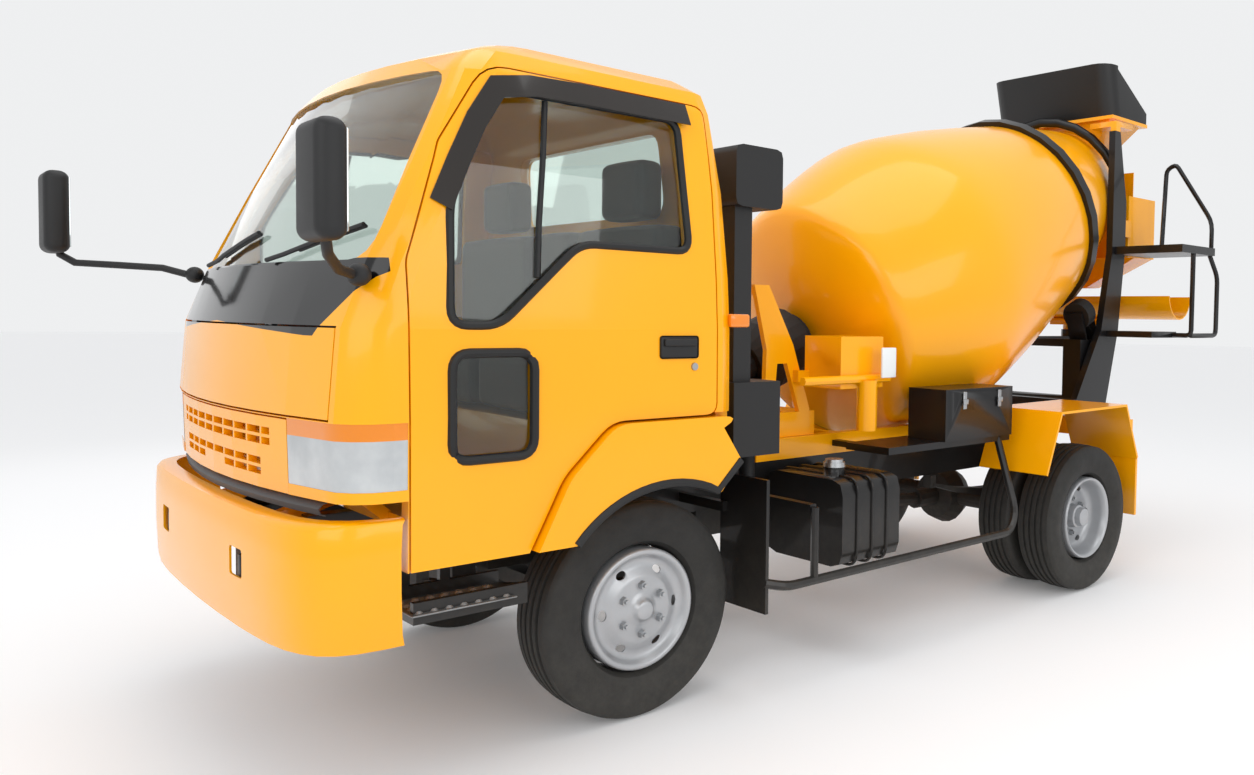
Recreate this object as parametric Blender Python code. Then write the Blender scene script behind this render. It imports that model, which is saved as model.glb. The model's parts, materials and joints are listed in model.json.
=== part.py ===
"""Small concrete mixer truck: a tilt-cab light lorry with a rear-discharge drum.

Metres, +Z up, +X towards the front of the truck, +Y to its left side.
Every piece is drawn from the point on the ground under the middle of the front axle,
and the empty "truck" carries that point so that the world origin is on the ground
under the middle of the whole vehicle.
"""
from math import cos, pi, radians, sin, tan

import bmesh
import bpy
from mathutils import Matrix, Vector

for leftover in list(bpy.data.objects):
    bpy.data.objects.remove(leftover, do_unlink=True)

# ---- driving dimensions -------------------------------------------------------------
WHEELBASE = 2.498
FRONT_REACH = 1.330            # front axle to the foremost point, the right mirror
REAR_REACH = 1.440             # rear axle to the rearmost point, the platform rail
FRONT_AXLE_X = (WHEELBASE + REAR_REACH - FRONT_REACH) / 2
REAR_AXLE = -WHEELBASE

ROUND_STEPS = 20               # sides of a wheel
TYRE_RADIUS = 0.362
TYRE_WIDTH = 0.200
RIM_RADIUS = 0.2155            # over the rim's flanges
RIM_DROP = 0.018               # flange's edge to the tyre's seat
REAR_HUB = 0.400               # outer flange of the twin wheels to the hub's inner end
FRONT_HUB = 0.085
RIM_FACE_FRONT = 0.745         # side of the truck to the outer flange of a front rim
RIM_FACE_REAR = 0.928
TWIN_SPACING = 0.2366

RAIL_OUTER = 0.370
RAIL_TOP = 0.735
RAIL_DEPTH = 0.165
SUBFRAME_TOP = 0.825

CAB_WALL = 0.045
SEAM = 0.0055                  # gap between body panels
TOUCH = 0.0003                 # gap between pieces that bear on each other
RUNNING = 0.006                # gap between pieces that move past each other
TILT_PIVOT = (1.000, 0.0, 0.700)
TILT_PIN = 0.015
DECK_TOP = 1.000               # cab floor over the engine
DECK_THICKNESS = 0.030

DRUM_TILT = radians(22.0)
DRUM_NOSE = (-1.350, 0.0, 1.245)   # centre of the drum's front flange
DRUM_SKIN = 0.008
RING_PLACE = 1.800             # along the drum's axis from its nose
RING_RADIUS = 0.612
ROLLER_RADIUS = 0.085

BODY_HALF_WIDTH = 0.950        # over the rear wings

truck = bpy.data.objects.new("truck", None)
truck.location = (FRONT_AXLE_X, 0, 0)
bpy.context.scene.collection.objects.link(truck)


# ---- materials -------------------------------------------------------------------------
def material(name, colour, roughness, metallic=0.0):
    made = bpy.data.materials.new(name)
    made.use_nodes = True
    shader = made.node_tree.nodes["Principled BSDF"]
    shader.inputs["Base Color"].default_value = (*colour, 1)
    shader.inputs["Roughness"].default_value = roughness
    shader.inputs["Metallic"].default_value = metallic
    return made


YELLOW = material("yellow_paint", (0.90, 0.42, 0.01), 0.25)
BLACK = material("black_paint", (0.015, 0.015, 0.016), 0.35)
PLASTIC = material("black_plastic", (0.02, 0.02, 0.021), 0.45)
GREY = material("grey_plastic", (0.07, 0.07, 0.07), 0.5)
RUBBER = material("tyre_rubber", (0.02, 0.02, 0.02), 0.75)
SILVER = material("silver_paint", (0.55, 0.56, 0.58), 0.35, 0.7)
STEEL = material("galvanised_steel", (0.45, 0.46, 0.47), 0.45, 0.9)
IRON = material("cast_iron", (0.05, 0.05, 0.05), 0.6, 0.4)
GLASS = material("glass", (0.55, 0.65, 0.62), 0.05)
LENS = material("lamp_lens", (0.80, 0.80, 0.80), 0.1)
CLOTH = material("seat_cloth", (0.10, 0.10, 0.10), 0.9)
INDIA_RUBBER = material("rubber_sheet", (0.015, 0.015, 0.015), 0.4)


# ---- shapes ---------------------------------------------------------------------------
def box(low, high):
    """A box between two corners."""
    bm = bmesh.new()
    bmesh.ops.create_cube(bm, size=1)
    size = [h - l for l, h in zip(low, high)]
    middle = [(h + l) / 2 for l, h in zip(low, high)]
    bmesh.ops.scale(bm, vec=size, verts=bm.verts)
    bmesh.ops.translate(bm, vec=middle, verts=bm.verts)
    return bm


def prism(outline, across, low, high):
    """An outline pushed straight from low to high along the axis named by across.

    The outline's two numbers are (y, z) for x, (x, z) for y and (x, y) for z.
    """
    place = {"x": lambda a, b: (low, a, b), "y": lambda a, b: (a, low, b),
             "z": lambda a, b: (a, b, low)}[across]
    push = {"x": (high - low, 0, 0), "y": (0, high - low, 0), "z": (0, 0, high - low)}[across]
    bm = bmesh.new()
    face = bm.faces.new([bm.verts.new(place(a, b)) for a, b in outline])
    top = bmesh.ops.extrude_face_region(bm, geom=[face])
    moved = [v for v in top["geom"] if isinstance(v, bmesh.types.BMVert)]
    bmesh.ops.translate(bm, vec=push, verts=moved)
    bmesh.ops.recalc_face_normals(bm, faces=bm.faces)
    return bm


def rounded(corners, radius, steps=4):
    """A polygon's points with each corner turned into an arc of the radius.

    A corner may carry its own radius as a third number.
    """
    points = []
    count = len(corners)
    for i, corner in enumerate(corners):
        here = Vector(corner[:2])
        own = corner[2] if len(corner) > 2 else radius
        before = (Vector(corners[i - 1][:2]) - here)
        after = (Vector(corners[(i + 1) % count][:2]) - here)
        if own <= 0:
            points.append(tuple(here))
            continue
        half = before.angle(after) / 2
        reach = min(own / tan(half), before.length * 0.49, after.length * 0.49)
        start = here + before.normalized() * reach
        end = here + after.normalized() * reach
        for k in range(steps + 1):
            t = k / steps
            points.append(tuple(start * (1 - t) ** 2 + here * 2 * t * (1 - t) + end * t ** 2))
    return points


def turned(profile, steps, start, towards):
    """A closed profile of (along, radius) turned about an axis from start towards a point."""
    bm = bmesh.new()
    verts = [bm.verts.new((radius, 0, along)) for along, radius in profile]
    edges = [bm.edges.new((a, b)) for a, b in zip(verts, verts[1:])]
    if profile[0][1] > 0 and profile[-1][1] > 0:
        edges.append(bm.edges.new((verts[-1], verts[0])))
    bmesh.ops.spin(bm, geom=verts + edges, cent=(0, 0, 0), axis=(0, 0, 1), dvec=(0, 0, 0),
                   angle=2 * pi, steps=steps, use_merge=True, use_duplicate=False)
    bmesh.ops.remove_doubles(bm, verts=bm.verts, dist=1e-6)
    bmesh.ops.recalc_face_normals(bm, faces=bm.faces)
    if bm.calc_volume(signed=True) < 0:
        bmesh.ops.reverse_faces(bm, faces=bm.faces)
    direction = (Vector(towards) - Vector(start)).normalized()
    turn = Vector((0, 0, 1)).rotation_difference(direction).to_matrix().to_4x4()
    bmesh.ops.transform(bm, matrix=Matrix.Translation(start) @ turn, verts=bm.verts)
    return bm


def rod(start, end, radius, steps=12):
    """A solid round bar between two points."""
    length = (Vector(end) - Vector(start)).length
    return turned([(0, 0), (0, radius), (length, radius), (length, 0)], steps, start, end)


def pipe(route, radius, steps=8, bend=0.0):
    """A solid round bar along a route, with its corners bent to the bend radius."""
    path = [Vector(p) for p in route]
    if bend:
        soft = [path[0]]
        for before, here, after in zip(path, path[1:], path[2:]):
            inward = (before - here)
            outward = (after - here)
            reach = min(bend, inward.length * 0.45, outward.length * 0.45)
            start = here + inward.normalized() * reach
            end = here + outward.normalized() * reach
            for k in range(4):
                t = k / 3
                soft.append(start * (1 - t) ** 2 + here * 2 * t * (1 - t) + end * t ** 2)
        soft.append(path[-1])
        path = soft
    bm = bmesh.new()
    side = None
    rings = []
    for i, point in enumerate(path):
        ahead = (path[min(i + 1, len(path) - 1)] - path[max(i - 1, 0)]).normalized()
        if side is None:
            side = ahead.orthogonal().normalized()
        side = (side - ahead * side.dot(ahead)).normalized()
        other = ahead.cross(side)
        rings.append([bm.verts.new(point + side * radius * cos(2 * pi * k / steps)
                                   + other * radius * sin(2 * pi * k / steps))
                      for k in range(steps)])
    for near, far in zip(rings, rings[1:]):
        for k in range(steps):
            bm.faces.new((near[k], near[(k + 1) % steps], far[(k + 1) % steps], far[k]))
    bm.faces.new(rings[0][::-1])
    bm.faces.new(rings[-1])
    bmesh.ops.recalc_face_normals(bm, faces=bm.faces)
    return bm


def loft(rings):
    """A solid skin through rings of the same number of points, capped at both ends."""
    bm = bmesh.new()
    loops = [[bm.verts.new(p) for p in ring] for ring in rings]
    count = len(loops[0])
    for low, high in zip(loops, loops[1:]):
        for k in range(count):
            bm.faces.new((low[k], low[(k + 1) % count], high[(k + 1) % count], high[k]))
    bm.faces.new(loops[0][::-1])
    bm.faces.new(loops[-1])
    bmesh.ops.recalc_face_normals(bm, faces=bm.faces)
    return bm


def turned_about(bm, centre, axis, angle):
    """The same mesh turned about a point."""
    bmesh.ops.rotate(bm, cent=centre, matrix=Matrix.Rotation(angle, 3, axis), verts=bm.verts)
    return bm


def mirrored(bm):
    """The same mesh on the other side of the truck."""
    bmesh.ops.scale(bm, vec=(1, -1, 1), verts=bm.verts)
    bmesh.ops.reverse_faces(bm, faces=bm.faces)
    return bm


# ---- objects ---------------------------------------------------------------------------
def add(name, bm, finish, pivot=(0, 0, 0), hidden=False):
    """An object of the mesh, with its origin on the pivot."""
    bmesh.ops.translate(bm, vec=-Vector(pivot), verts=bm.verts)
    mesh = bpy.data.meshes.new(name)
    bm.to_mesh(mesh)
    bm.free()
    mesh.materials.append(finish)
    mesh.shade_smooth()
    mesh.set_sharp_from_angle(angle=radians(35))
    made = bpy.data.objects.new(name, mesh)
    made.location = pivot
    made.parent = truck
    if hidden:
        made.hide_render = True
        made.display_type = "WIRE"
    bpy.context.scene.collection.objects.link(made)
    return made


def guide(bm):
    """A hidden solid that other objects are cut or joined with."""
    return add("guide", bm, BLACK, hidden=True)


def boolean(target, operation, *guides):
    for other in guides:
        step = target.modifiers.new(operation.lower(), "BOOLEAN")
        step.operation = operation
        step.solver = "EXACT"
        step.object = other
    return target


def joined(name, meshes, finish, pivot=(0, 0, 0)):
    """One object of several overlapping meshes."""
    target = add(name, meshes[0], finish, pivot)
    return boolean(target, "UNION", *[guide(bm) for bm in meshes[1:]])


# ---- chassis ------------------------------------------------------------------------
RAIL_FRONT = 0.900
RAIL_REAR = -3.060
RAIL_FLANGE = 0.055
RAIL_WEB = 0.008
RAIL_BOTTOM = RAIL_TOP - RAIL_DEPTH
CROSS_PLACES = (-0.560, -1.300, -2.050, -2.950)
CROSS_DEPTH = 0.110
FRONT_CROSS_X = 0.840


def channel_rail():
    """One C-shaped side rail, open to the middle of the truck."""
    inner = RAIL_OUTER - RAIL_FLANGE
    web = RAIL_OUTER - RAIL_WEB
    outline = [(RAIL_OUTER, RAIL_BOTTOM), (RAIL_OUTER, RAIL_TOP), (inner, RAIL_TOP),
               (inner, RAIL_TOP - RAIL_WEB), (web, RAIL_TOP - RAIL_WEB),
               (web, RAIL_BOTTOM + RAIL_WEB), (inner, RAIL_BOTTOM + RAIL_WEB),
               (inner, RAIL_BOTTOM)]
    return prism(outline, "x", RAIL_REAR, RAIL_FRONT)


def chassis_frame():
    middle = (RAIL_TOP + RAIL_BOTTOM) / 2
    pieces = [channel_rail(), mirrored(channel_rail())]
    for x in CROSS_PLACES:
        half = RAIL_OUTER - RAIL_WEB / 2
        pieces.append(box((x - 0.03, -half, middle - CROSS_DEPTH / 2),
                          (x + 0.03, half, middle + CROSS_DEPTH / 2)))
    half = RAIL_OUTER - RAIL_WEB / 2
    low = RAIL_BOTTOM + 0.010
    pieces.append(box((FRONT_CROSS_X - 0.03, -half, low), (FRONT_CROSS_X + 0.03, half, low + 0.070)))
    # The cab tilts on a bar that two brackets hold beyond the front ends of the rails.
    x, _, z = TILT_PIVOT
    for side in (-1, 1):
        y = side * (RAIL_OUTER - 0.03)
        pieces.append(box((RAIL_FRONT - 0.10, y - 0.02, RAIL_BOTTOM + 0.04),
                          (x + 0.02, y + 0.02, RAIL_BOTTOM + 0.09)))
        pieces.append(box((x - 0.02, y - 0.02, RAIL_BOTTOM + 0.08), (x + 0.02, y + 0.02, z + 0.02)))
    reach = RAIL_OUTER - 0.03
    pieces.append(rod((x, -reach, z), (x, reach, z), TILT_PIN, 12))
    # A hoop over the gearbox carries the back of the cab.
    rest = DECK_TOP - DECK_THICKNESS - TOUCH
    for side in (-1, 1):
        low_y, high_y = sorted((side * (RAIL_OUTER - 0.050), side * (RAIL_OUTER - 0.004)))
        pieces.append(box((-0.275, low_y, RAIL_TOP - 0.02), (-0.235, high_y, rest)))
    pieces.append(box((-0.275, 0.006 - RAIL_OUTER, rest - 0.016), (-0.235, RAIL_OUTER - 0.006, rest)))
    # Steps under the doors, on brackets from the rails.
    for side in (-1, 1):
        shapes = [box((0.450, 0.620, 0.490), (0.780, 0.820, 0.515)),
                  box((0.450, 0.800, 0.490), (0.780, 0.820, 0.550)),
                  box((0.450, 0.620, 0.490), (0.780, 0.640, 0.550))]
        for bx in (0.600, 0.720):
            shapes.append(box((bx, RAIL_OUTER - 0.006, RAIL_BOTTOM + 0.01),
                              (bx + 0.03, 0.640, RAIL_BOTTOM + 0.03)))
            shapes.append(box((bx, 0.620, 0.500), (bx + 0.03, 0.640, RAIL_BOTTOM + 0.03)))
        pieces += shapes if side > 0 else [mirrored(shape) for shape in shapes]
    return joined("chassis_frame", pieces, BLACK)


def subframe():
    """The mixer's own pair of sills, bolted along the tops of the rails."""
    rear = RAIL_REAR + 0.02
    front = -0.800
    low = RAIL_TOP + TOUCH
    pieces = []
    for side in (-1, 1):
        inner, outer = sorted((side * (RAIL_OUTER + 0.004), side * (RAIL_OUTER - 0.046)))
        pieces.append(box((rear, inner, low), (front, outer, SUBFRAME_TOP)))
    for x in (front - 0.05, -1.350, -2.300, rear + 0.05):
        pieces.append(box((x - 0.03, -RAIL_OUTER + 0.01, low + 0.01),
                          (x + 0.03, RAIL_OUTER - 0.01, SUBFRAME_TOP - 0.01)))
    return joined("mixer_subframe", pieces, YELLOW)


# ---- axles, springs and wheels --------------------------------------------------------
KINGPIN_Y = 0.600
SPRING_Y = 0.300
SPRING_WIDTH = 0.060


def leaf_spring(x, length, low, high, y):
    """A bowed pack of leaves, thick in the middle, on one side of the truck."""
    half = length / 2
    steps = 6
    top, bottom = [], []
    for k in range(steps + 1):
        t = -1 + 2 * k / steps
        bow = low + (high - low) * t * t
        thick = 0.014 + 0.040 * (1 - abs(t))
        top.append((x + half * t, bow + 0.010))
        bottom.append((x + half * t, bow + 0.010 - thick))
    return prism(top + bottom[::-1], "y", y - SPRING_WIDTH / 2, y + SPRING_WIDTH / 2)


def front_axle():
    """Dropped beam with its springs, reaching out to the kingpins."""
    beam_high = TYRE_RADIUS + 0.005
    inner = SPRING_Y + 0.05
    pieces = [box((-0.035, -inner - 0.02, 0.285), (0.035, inner + 0.02, 0.345))]
    for side in (-1, 1):
        arm = prism([(inner, 0.285), (KINGPIN_Y - 0.030, beam_high - 0.03),
                     (KINGPIN_Y - 0.030, beam_high + 0.03), (inner, 0.345)], "x", -0.03, 0.03)
        boss = rod((0, KINGPIN_Y - 0.01, beam_high - 0.035), (0, KINGPIN_Y - 0.01, beam_high + 0.035),
                   0.030, 12)
        spring = leaf_spring(0, 1.10, 0.372, 0.470, SPRING_Y)
        saddle = box((-0.06, SPRING_Y - 0.04, 0.33), (0.06, SPRING_Y + 0.04, 0.40))
        for shape in (arm, boss, spring, saddle):
            pieces.append(shape if side > 0 else mirrored(shape))
        for end in (-1, 1):
            x = end * 0.55
            hanger = box((x - 0.02, SPRING_Y - 0.025, 0.455), (x + 0.02, SPRING_Y + 0.025, 0.5697))
            pieces.append(hanger if side > 0 else mirrored(hanger))
    return joined("front_axle", pieces, IRON)


def rear_axle():
    """Banjo housing with the differential's bowl, half-shaft tubes and springs."""
    z = TYRE_RADIUS
    end = RIM_FACE_REAR - REAR_HUB - TOUCH
    pieces = [rod((REAR_AXLE, -end, z), (REAR_AXLE, end, z), 0.050, 16),
              turned([(-0.13, 0), (-0.13, 0.06), (-0.08, 0.125), (0.0, 0.160), (0.08, 0.125),
                      (0.10, 0.06), (0.10, 0)], 20, (REAR_AXLE, 0, z), (REAR_AXLE + 1, 0, z)),
              rod((REAR_AXLE + 0.06, 0, z), (REAR_AXLE + 0.25, 0, z), 0.055, 12)]
    for side in (-1, 1):
        y = RAIL_OUTER + 0.005
        spring = leaf_spring(REAR_AXLE, 1.15, z + 0.085, z + 0.160, y)
        saddle = box((REAR_AXLE - 0.06, y - 0.04, z), (REAR_AXLE + 0.06, y + 0.04, z + 0.09))
        pieces += [spring, saddle] if side > 0 else [mirrored(spring), mirrored(saddle)]
        for reach in (-1, 1):
            x = REAR_AXLE + reach * 0.575
            hanger = box((x - 0.02, y - 0.025, z + 0.145), (x + 0.02, y + 0.025, RAIL_BOTTOM - TOUCH))
            pieces.append(hanger if side > 0 else mirrored(hanger))
    return joined("rear_axle", pieces, IRON)


def tyre(name, x, outer_face, side, pivot):
    """A tyre as a closed ring whose outer wall stands a little beyond the rim's flange."""
    wall = outer_face + 0.010
    bead = RIM_RADIUS - 0.012
    seat = RIM_RADIUS - RIM_DROP + 0.0005
    profile = [(0.012, bead), (0.0, bead + 0.055), (0.018, TYRE_RADIUS - 0.010),
               (0.032, TYRE_RADIUS), (TYRE_WIDTH - 0.032, TYRE_RADIUS),
               (TYRE_WIDTH - 0.018, TYRE_RADIUS - 0.010), (TYRE_WIDTH, bead + 0.055),
               (TYRE_WIDTH - 0.012, bead), (TYRE_WIDTH - 0.030, bead), (TYRE_WIDTH - 0.050, seat),
               (0.030, seat)]
    start = (x, side * wall, TYRE_RADIUS)
    return add(name, turned(profile, ROUND_STEPS, start, (x, 0, TYRE_RADIUS)), RUBBER, pivot)


def rim_profile(dish):
    """Half section of a disc wheel; dish is how far its disc lies behind the outer flange."""
    seat = RIM_RADIUS - RIM_DROP
    deep = TYRE_WIDTH - 0.040
    return [(dish, 0.0), (dish, 0.150), (dish - 0.008, seat - 0.012), (0.004, seat - 0.012),
            (0.0, RIM_RADIUS - 0.014), (0.016, seat), (deep, seat), (deep, seat - 0.010),
            (dish + 0.016, seat - 0.012),
            (dish + 0.010, 0.150), (dish + 0.010, 0.0)]


def front_wheel(side, pivot):
    """Disc wheel with its hub."""
    name = "front_wheel_left" if side > 0 else "front_wheel_right"
    start = (0, side * (RIM_FACE_FRONT), TYRE_RADIUS)
    inward = (0, 0, TYRE_RADIUS)
    rim = turned(rim_profile(0.020), ROUND_STEPS, start, inward)
    hub = turned([(-0.020, 0), (-0.020, 0.034), (-0.008, 0.046), (FRONT_HUB - 0.010, 0.060),
                  (FRONT_HUB, 0.050), (FRONT_HUB, 0)],
                 20, start, inward)
    return joined(name, [rim, hub], SILVER, pivot)


def rear_wheel(side, pivot):
    """Twin disc wheels on one hub: the outer disc is deeply dished."""
    name = "rear_wheel_left" if side > 0 else "rear_wheel_right"
    face = side * RIM_FACE_REAR
    start = (REAR_AXLE, face, TYRE_RADIUS)
    inward = (REAR_AXLE, 0, TYRE_RADIUS)
    outer = turned(rim_profile(0.105), ROUND_STEPS, start, inward)
    reversed_profile = [(TWIN_SPACING + TYRE_WIDTH - 0.040 - a, r) for a, r in rim_profile(0.040)]
    inner = turned(reversed_profile, ROUND_STEPS, start, inward)
    hub = turned([(0.020, 0), (0.020, 0.045), (0.060, 0.060), (REAR_HUB, 0.075), (REAR_HUB, 0)],
                 20, start, inward)
    return joined(name, [outer, inner, hub], SILVER, pivot)


def knuckle(side):
    """Steering knuckle: a fork round the kingpin boss, a stub axle and a steering arm."""
    name = "knuckle_left" if side > 0 else "knuckle_right"
    z = TYRE_RADIUS + 0.005
    pieces = [box((-0.030, KINGPIN_Y - 0.030, z + 0.041), (0.030, KINGPIN_Y + 0.054, z + 0.066)),
              box((-0.030, KINGPIN_Y - 0.030, z - 0.066), (0.030, KINGPIN_Y + 0.054, z - 0.041)),
              box((-0.032, KINGPIN_Y + 0.036, z - 0.066), (0.032, KINGPIN_Y + 0.056, z + 0.066)),
              box((-0.150, KINGPIN_Y - 0.025, z - 0.064), (-0.020, KINGPIN_Y - 0.005, z - 0.045))]
    pin = KINGPIN_Y - 0.01
    for near, far in ((0.045, 0.035 + TOUCH), (-0.045, -0.035 - TOUCH)):
        pieces.append(rod((0, pin, z + near), (0, pin, z + far), 0.018, 12))
    pieces.append(rod((0, KINGPIN_Y + 0.040, TYRE_RADIUS),
                      (0, RIM_FACE_FRONT - FRONT_HUB - TOUCH, TYRE_RADIUS), 0.025, 12))
    if side < 0:
        pieces = [mirrored(p) for p in pieces]
    return joined(name, pieces, IRON, (0, side * KINGPIN_Y, TYRE_RADIUS))


chassis_frame()
subframe()
front_axle()
rear_axle()
for side, word in ((1, "left"), (-1, "right")):
    knuckle(side)
    front_centre = (0, side * RIM_FACE_FRONT, TYRE_RADIUS)
    rear_centre = (REAR_AXLE, side * RIM_FACE_REAR, TYRE_RADIUS)
    front_wheel(side, front_centre)
    rear_wheel(side, rear_centre)
    tyre(f"front_tyre_{word}", 0, RIM_FACE_FRONT, side, front_centre)
    tyre(f"rear_outer_tyre_{word}", REAR_AXLE, RIM_FACE_REAR, side, rear_centre)
    tyre(f"rear_inner_tyre_{word}", REAR_AXLE, RIM_FACE_REAR - TWIN_SPACING, side, rear_centre)


# ---- cab ---------------------------------------------------------------------------
# The cab's skin is one closed outline at each height. Every panel, door and pane is a part
# of that same skin, so that they stay flush when a size is changed.
CAB_LEVELS = (
    # height, half width, front at the middle, front's bulge, front corner, rear
    (0.645, 0.862, 1.045, 0.105, 0.120, -0.285),
    (1.050, 0.870, 1.055, 0.105, 0.130, -0.285),
    (1.290, 0.868, 1.040, 0.110, 0.130, -0.285),
    (1.465, 0.858, 0.988, 0.125, 0.120, -0.283),
    (1.750, 0.830, 0.862, 0.130, 0.110, -0.272),
    (2.020, 0.782, 0.735, 0.130, 0.110, -0.250),
    (2.085, 0.760, 0.680, 0.130, 0.110, -0.235),
    (2.125, 0.700, 0.590, 0.120, 0.110, -0.185),
    (2.145, 0.580, 0.440, 0.100, 0.110, -0.080),
)
REAR_CORNER = 0.060
DOOR_FRONT = 0.808
DOOR_REAR = -0.200
DOOR_TOP = 2.035
CAB_BOTTOM = 0.645
FLOOR_TOP = 0.785
FLOOR_THICKNESS = 0.035
FOOTWELL_REAR = 0.330
GLASS_THICKNESS = 0.006
GLASS_INSET = 0.010
LAMP_TOP = 1.045
LAMP_BOTTOM = 0.868
LAMP_INNER = 0.560
PANEL_BOTTOM = 0.838
LID_TOP = 1.290
FIREWALL_X = 0.895
FIREWALL_HALF = 0.700
ARM_Y = 0.260                  # arms that hold the cab on its tilt bar
WING_OUTER = 0.895
WING_INNER = 0.640


def cab_outline(level, wall):
    """The cab's plan at one level, moved in by the wall."""
    z, half, front, bulge, corner, rear = level
    half -= wall
    front -= wall
    rear += wall
    corner = max(corner - wall, 0.02)
    rear_corner = max(REAR_CORNER - wall, 0.01)
    flat = half - corner
    right_to_left = []
    for k in range(4):
        y = flat * k / 4
        right_to_left.append((front - bulge * (y / half) ** 2, y))
    x_corner = front - bulge * (flat / half) ** 2 - corner
    for k in range(5):
        a = pi / 2 * k / 4
        right_to_left.append((x_corner + corner * cos(a), flat + corner * sin(a)))
    for k in range(3):
        a = pi / 2 * (1 + k / 2)
        right_to_left.append((rear + rear_corner + rear_corner * cos(a),
                              half - rear_corner + rear_corner * sin(a)))
    right_to_left.append((rear, 0.0))
    left = [(x, y, z) for x, y in right_to_left]
    right = [(x, -y, z) for x, y in right_to_left[-2:0:-1]]
    return left + right


def cab_skin(wall, low=None):
    """The solid inside the cab's outline, moved in by the wall, with the roof lowered by it."""
    levels = [list(level) for level in CAB_LEVELS]
    if low is not None:
        levels[0][0] = low
    if wall > 0:
        for level in levels[-3:]:
            level[0] -= wall
    return loft([cab_outline(level, wall) for level in levels])


def sided(outline, side, inner=0.50, outer=1.00):
    """An outline of (x, z) pushed through one side of the cab."""
    low, high = sorted((side * inner, side * outer))
    return prism(outline, "y", low, high)


def front_on(outline, rear=0.30, front=1.30):
    """An outline of (y, z) pushed through the front of the cab."""
    return prism(outline, "x", rear, front)


def grown(outline, gap):
    """The same outline with its points moved out from its middle by about the gap."""
    cx = sum(p[0] for p in outline) / len(outline)
    cy = sum(p[1] for p in outline) / len(outline)
    wide = max(abs(p[0] - cx) for p in outline)
    tall = max(abs(p[1] - cy) for p in outline)
    return [(cx + (x - cx) * (1 + gap / wide), cy + (y - cy) * (1 + gap / tall)) for x, y in outline]


DOOR_OUTLINE = rounded([(DOOR_FRONT - 0.006, CAB_BOTTOM - 0.02, 0), (0.475, CAB_BOTTOM - 0.02, 0),
                        (0.360, 0.855, 0.20), (0.200, 1.010, 0.12), (DOOR_REAR, 1.010, 0.04), (DOOR_REAR, DOOR_TOP, 0.05),
                        (0.560, DOOR_TOP, 0.12), (0.700, 1.800, 0.10), (DOOR_FRONT, 1.470, 0.10)], 0.05)
WINDOW_OUTLINE = rounded([(0.700, 1.300, 0.07), (0.560, 1.300, 0.10), (0.300, 1.545, 0.10),
                          (-0.100, 1.545, 0.03), (-0.085, 1.975, 0.05), (0.530, 1.975, 0.12),
                          (0.700, 1.640, 0.06)], 0.05)
LOWER_WINDOW = rounded([(0.455, 0.930), (0.695, 0.930), (0.695, 1.225), (0.455, 1.225)], 0.035)
WINDSCREEN = rounded([(-0.790, 1.470, 0.08), (0.790, 1.470, 0.08), (0.700, 2.025, 0.09),
                      (-0.700, 2.025, 0.09)], 0.08)
REAR_WINDOW = rounded([(-0.52, 1.700), (0.52, 1.700), (0.50, 1.985), (-0.50, 1.985)], 0.06)
LID_BOTTOM = LAMP_TOP + 0.008
LID_OUTLINE = [(-0.762, LID_BOTTOM), (0.762, LID_BOTTOM), (0.762, LID_TOP), (-0.762, LID_TOP)]


def lamp_zone(side, gap):
    """Front-on box of a headlamp's recess; a gap makes the lamp smaller than its recess."""
    low, high = sorted((side * (LAMP_INNER + gap), side * 1.0))
    return box((DOOR_FRONT + 0.004 + gap, low, LAMP_BOTTOM + gap), (1.20, high, LAMP_TOP - gap))


GRILLE_ZONE = ((-LAMP_INNER + SEAM, PANEL_BOTTOM), (LAMP_INNER - SEAM, LAMP_TOP - SEAM))


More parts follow.
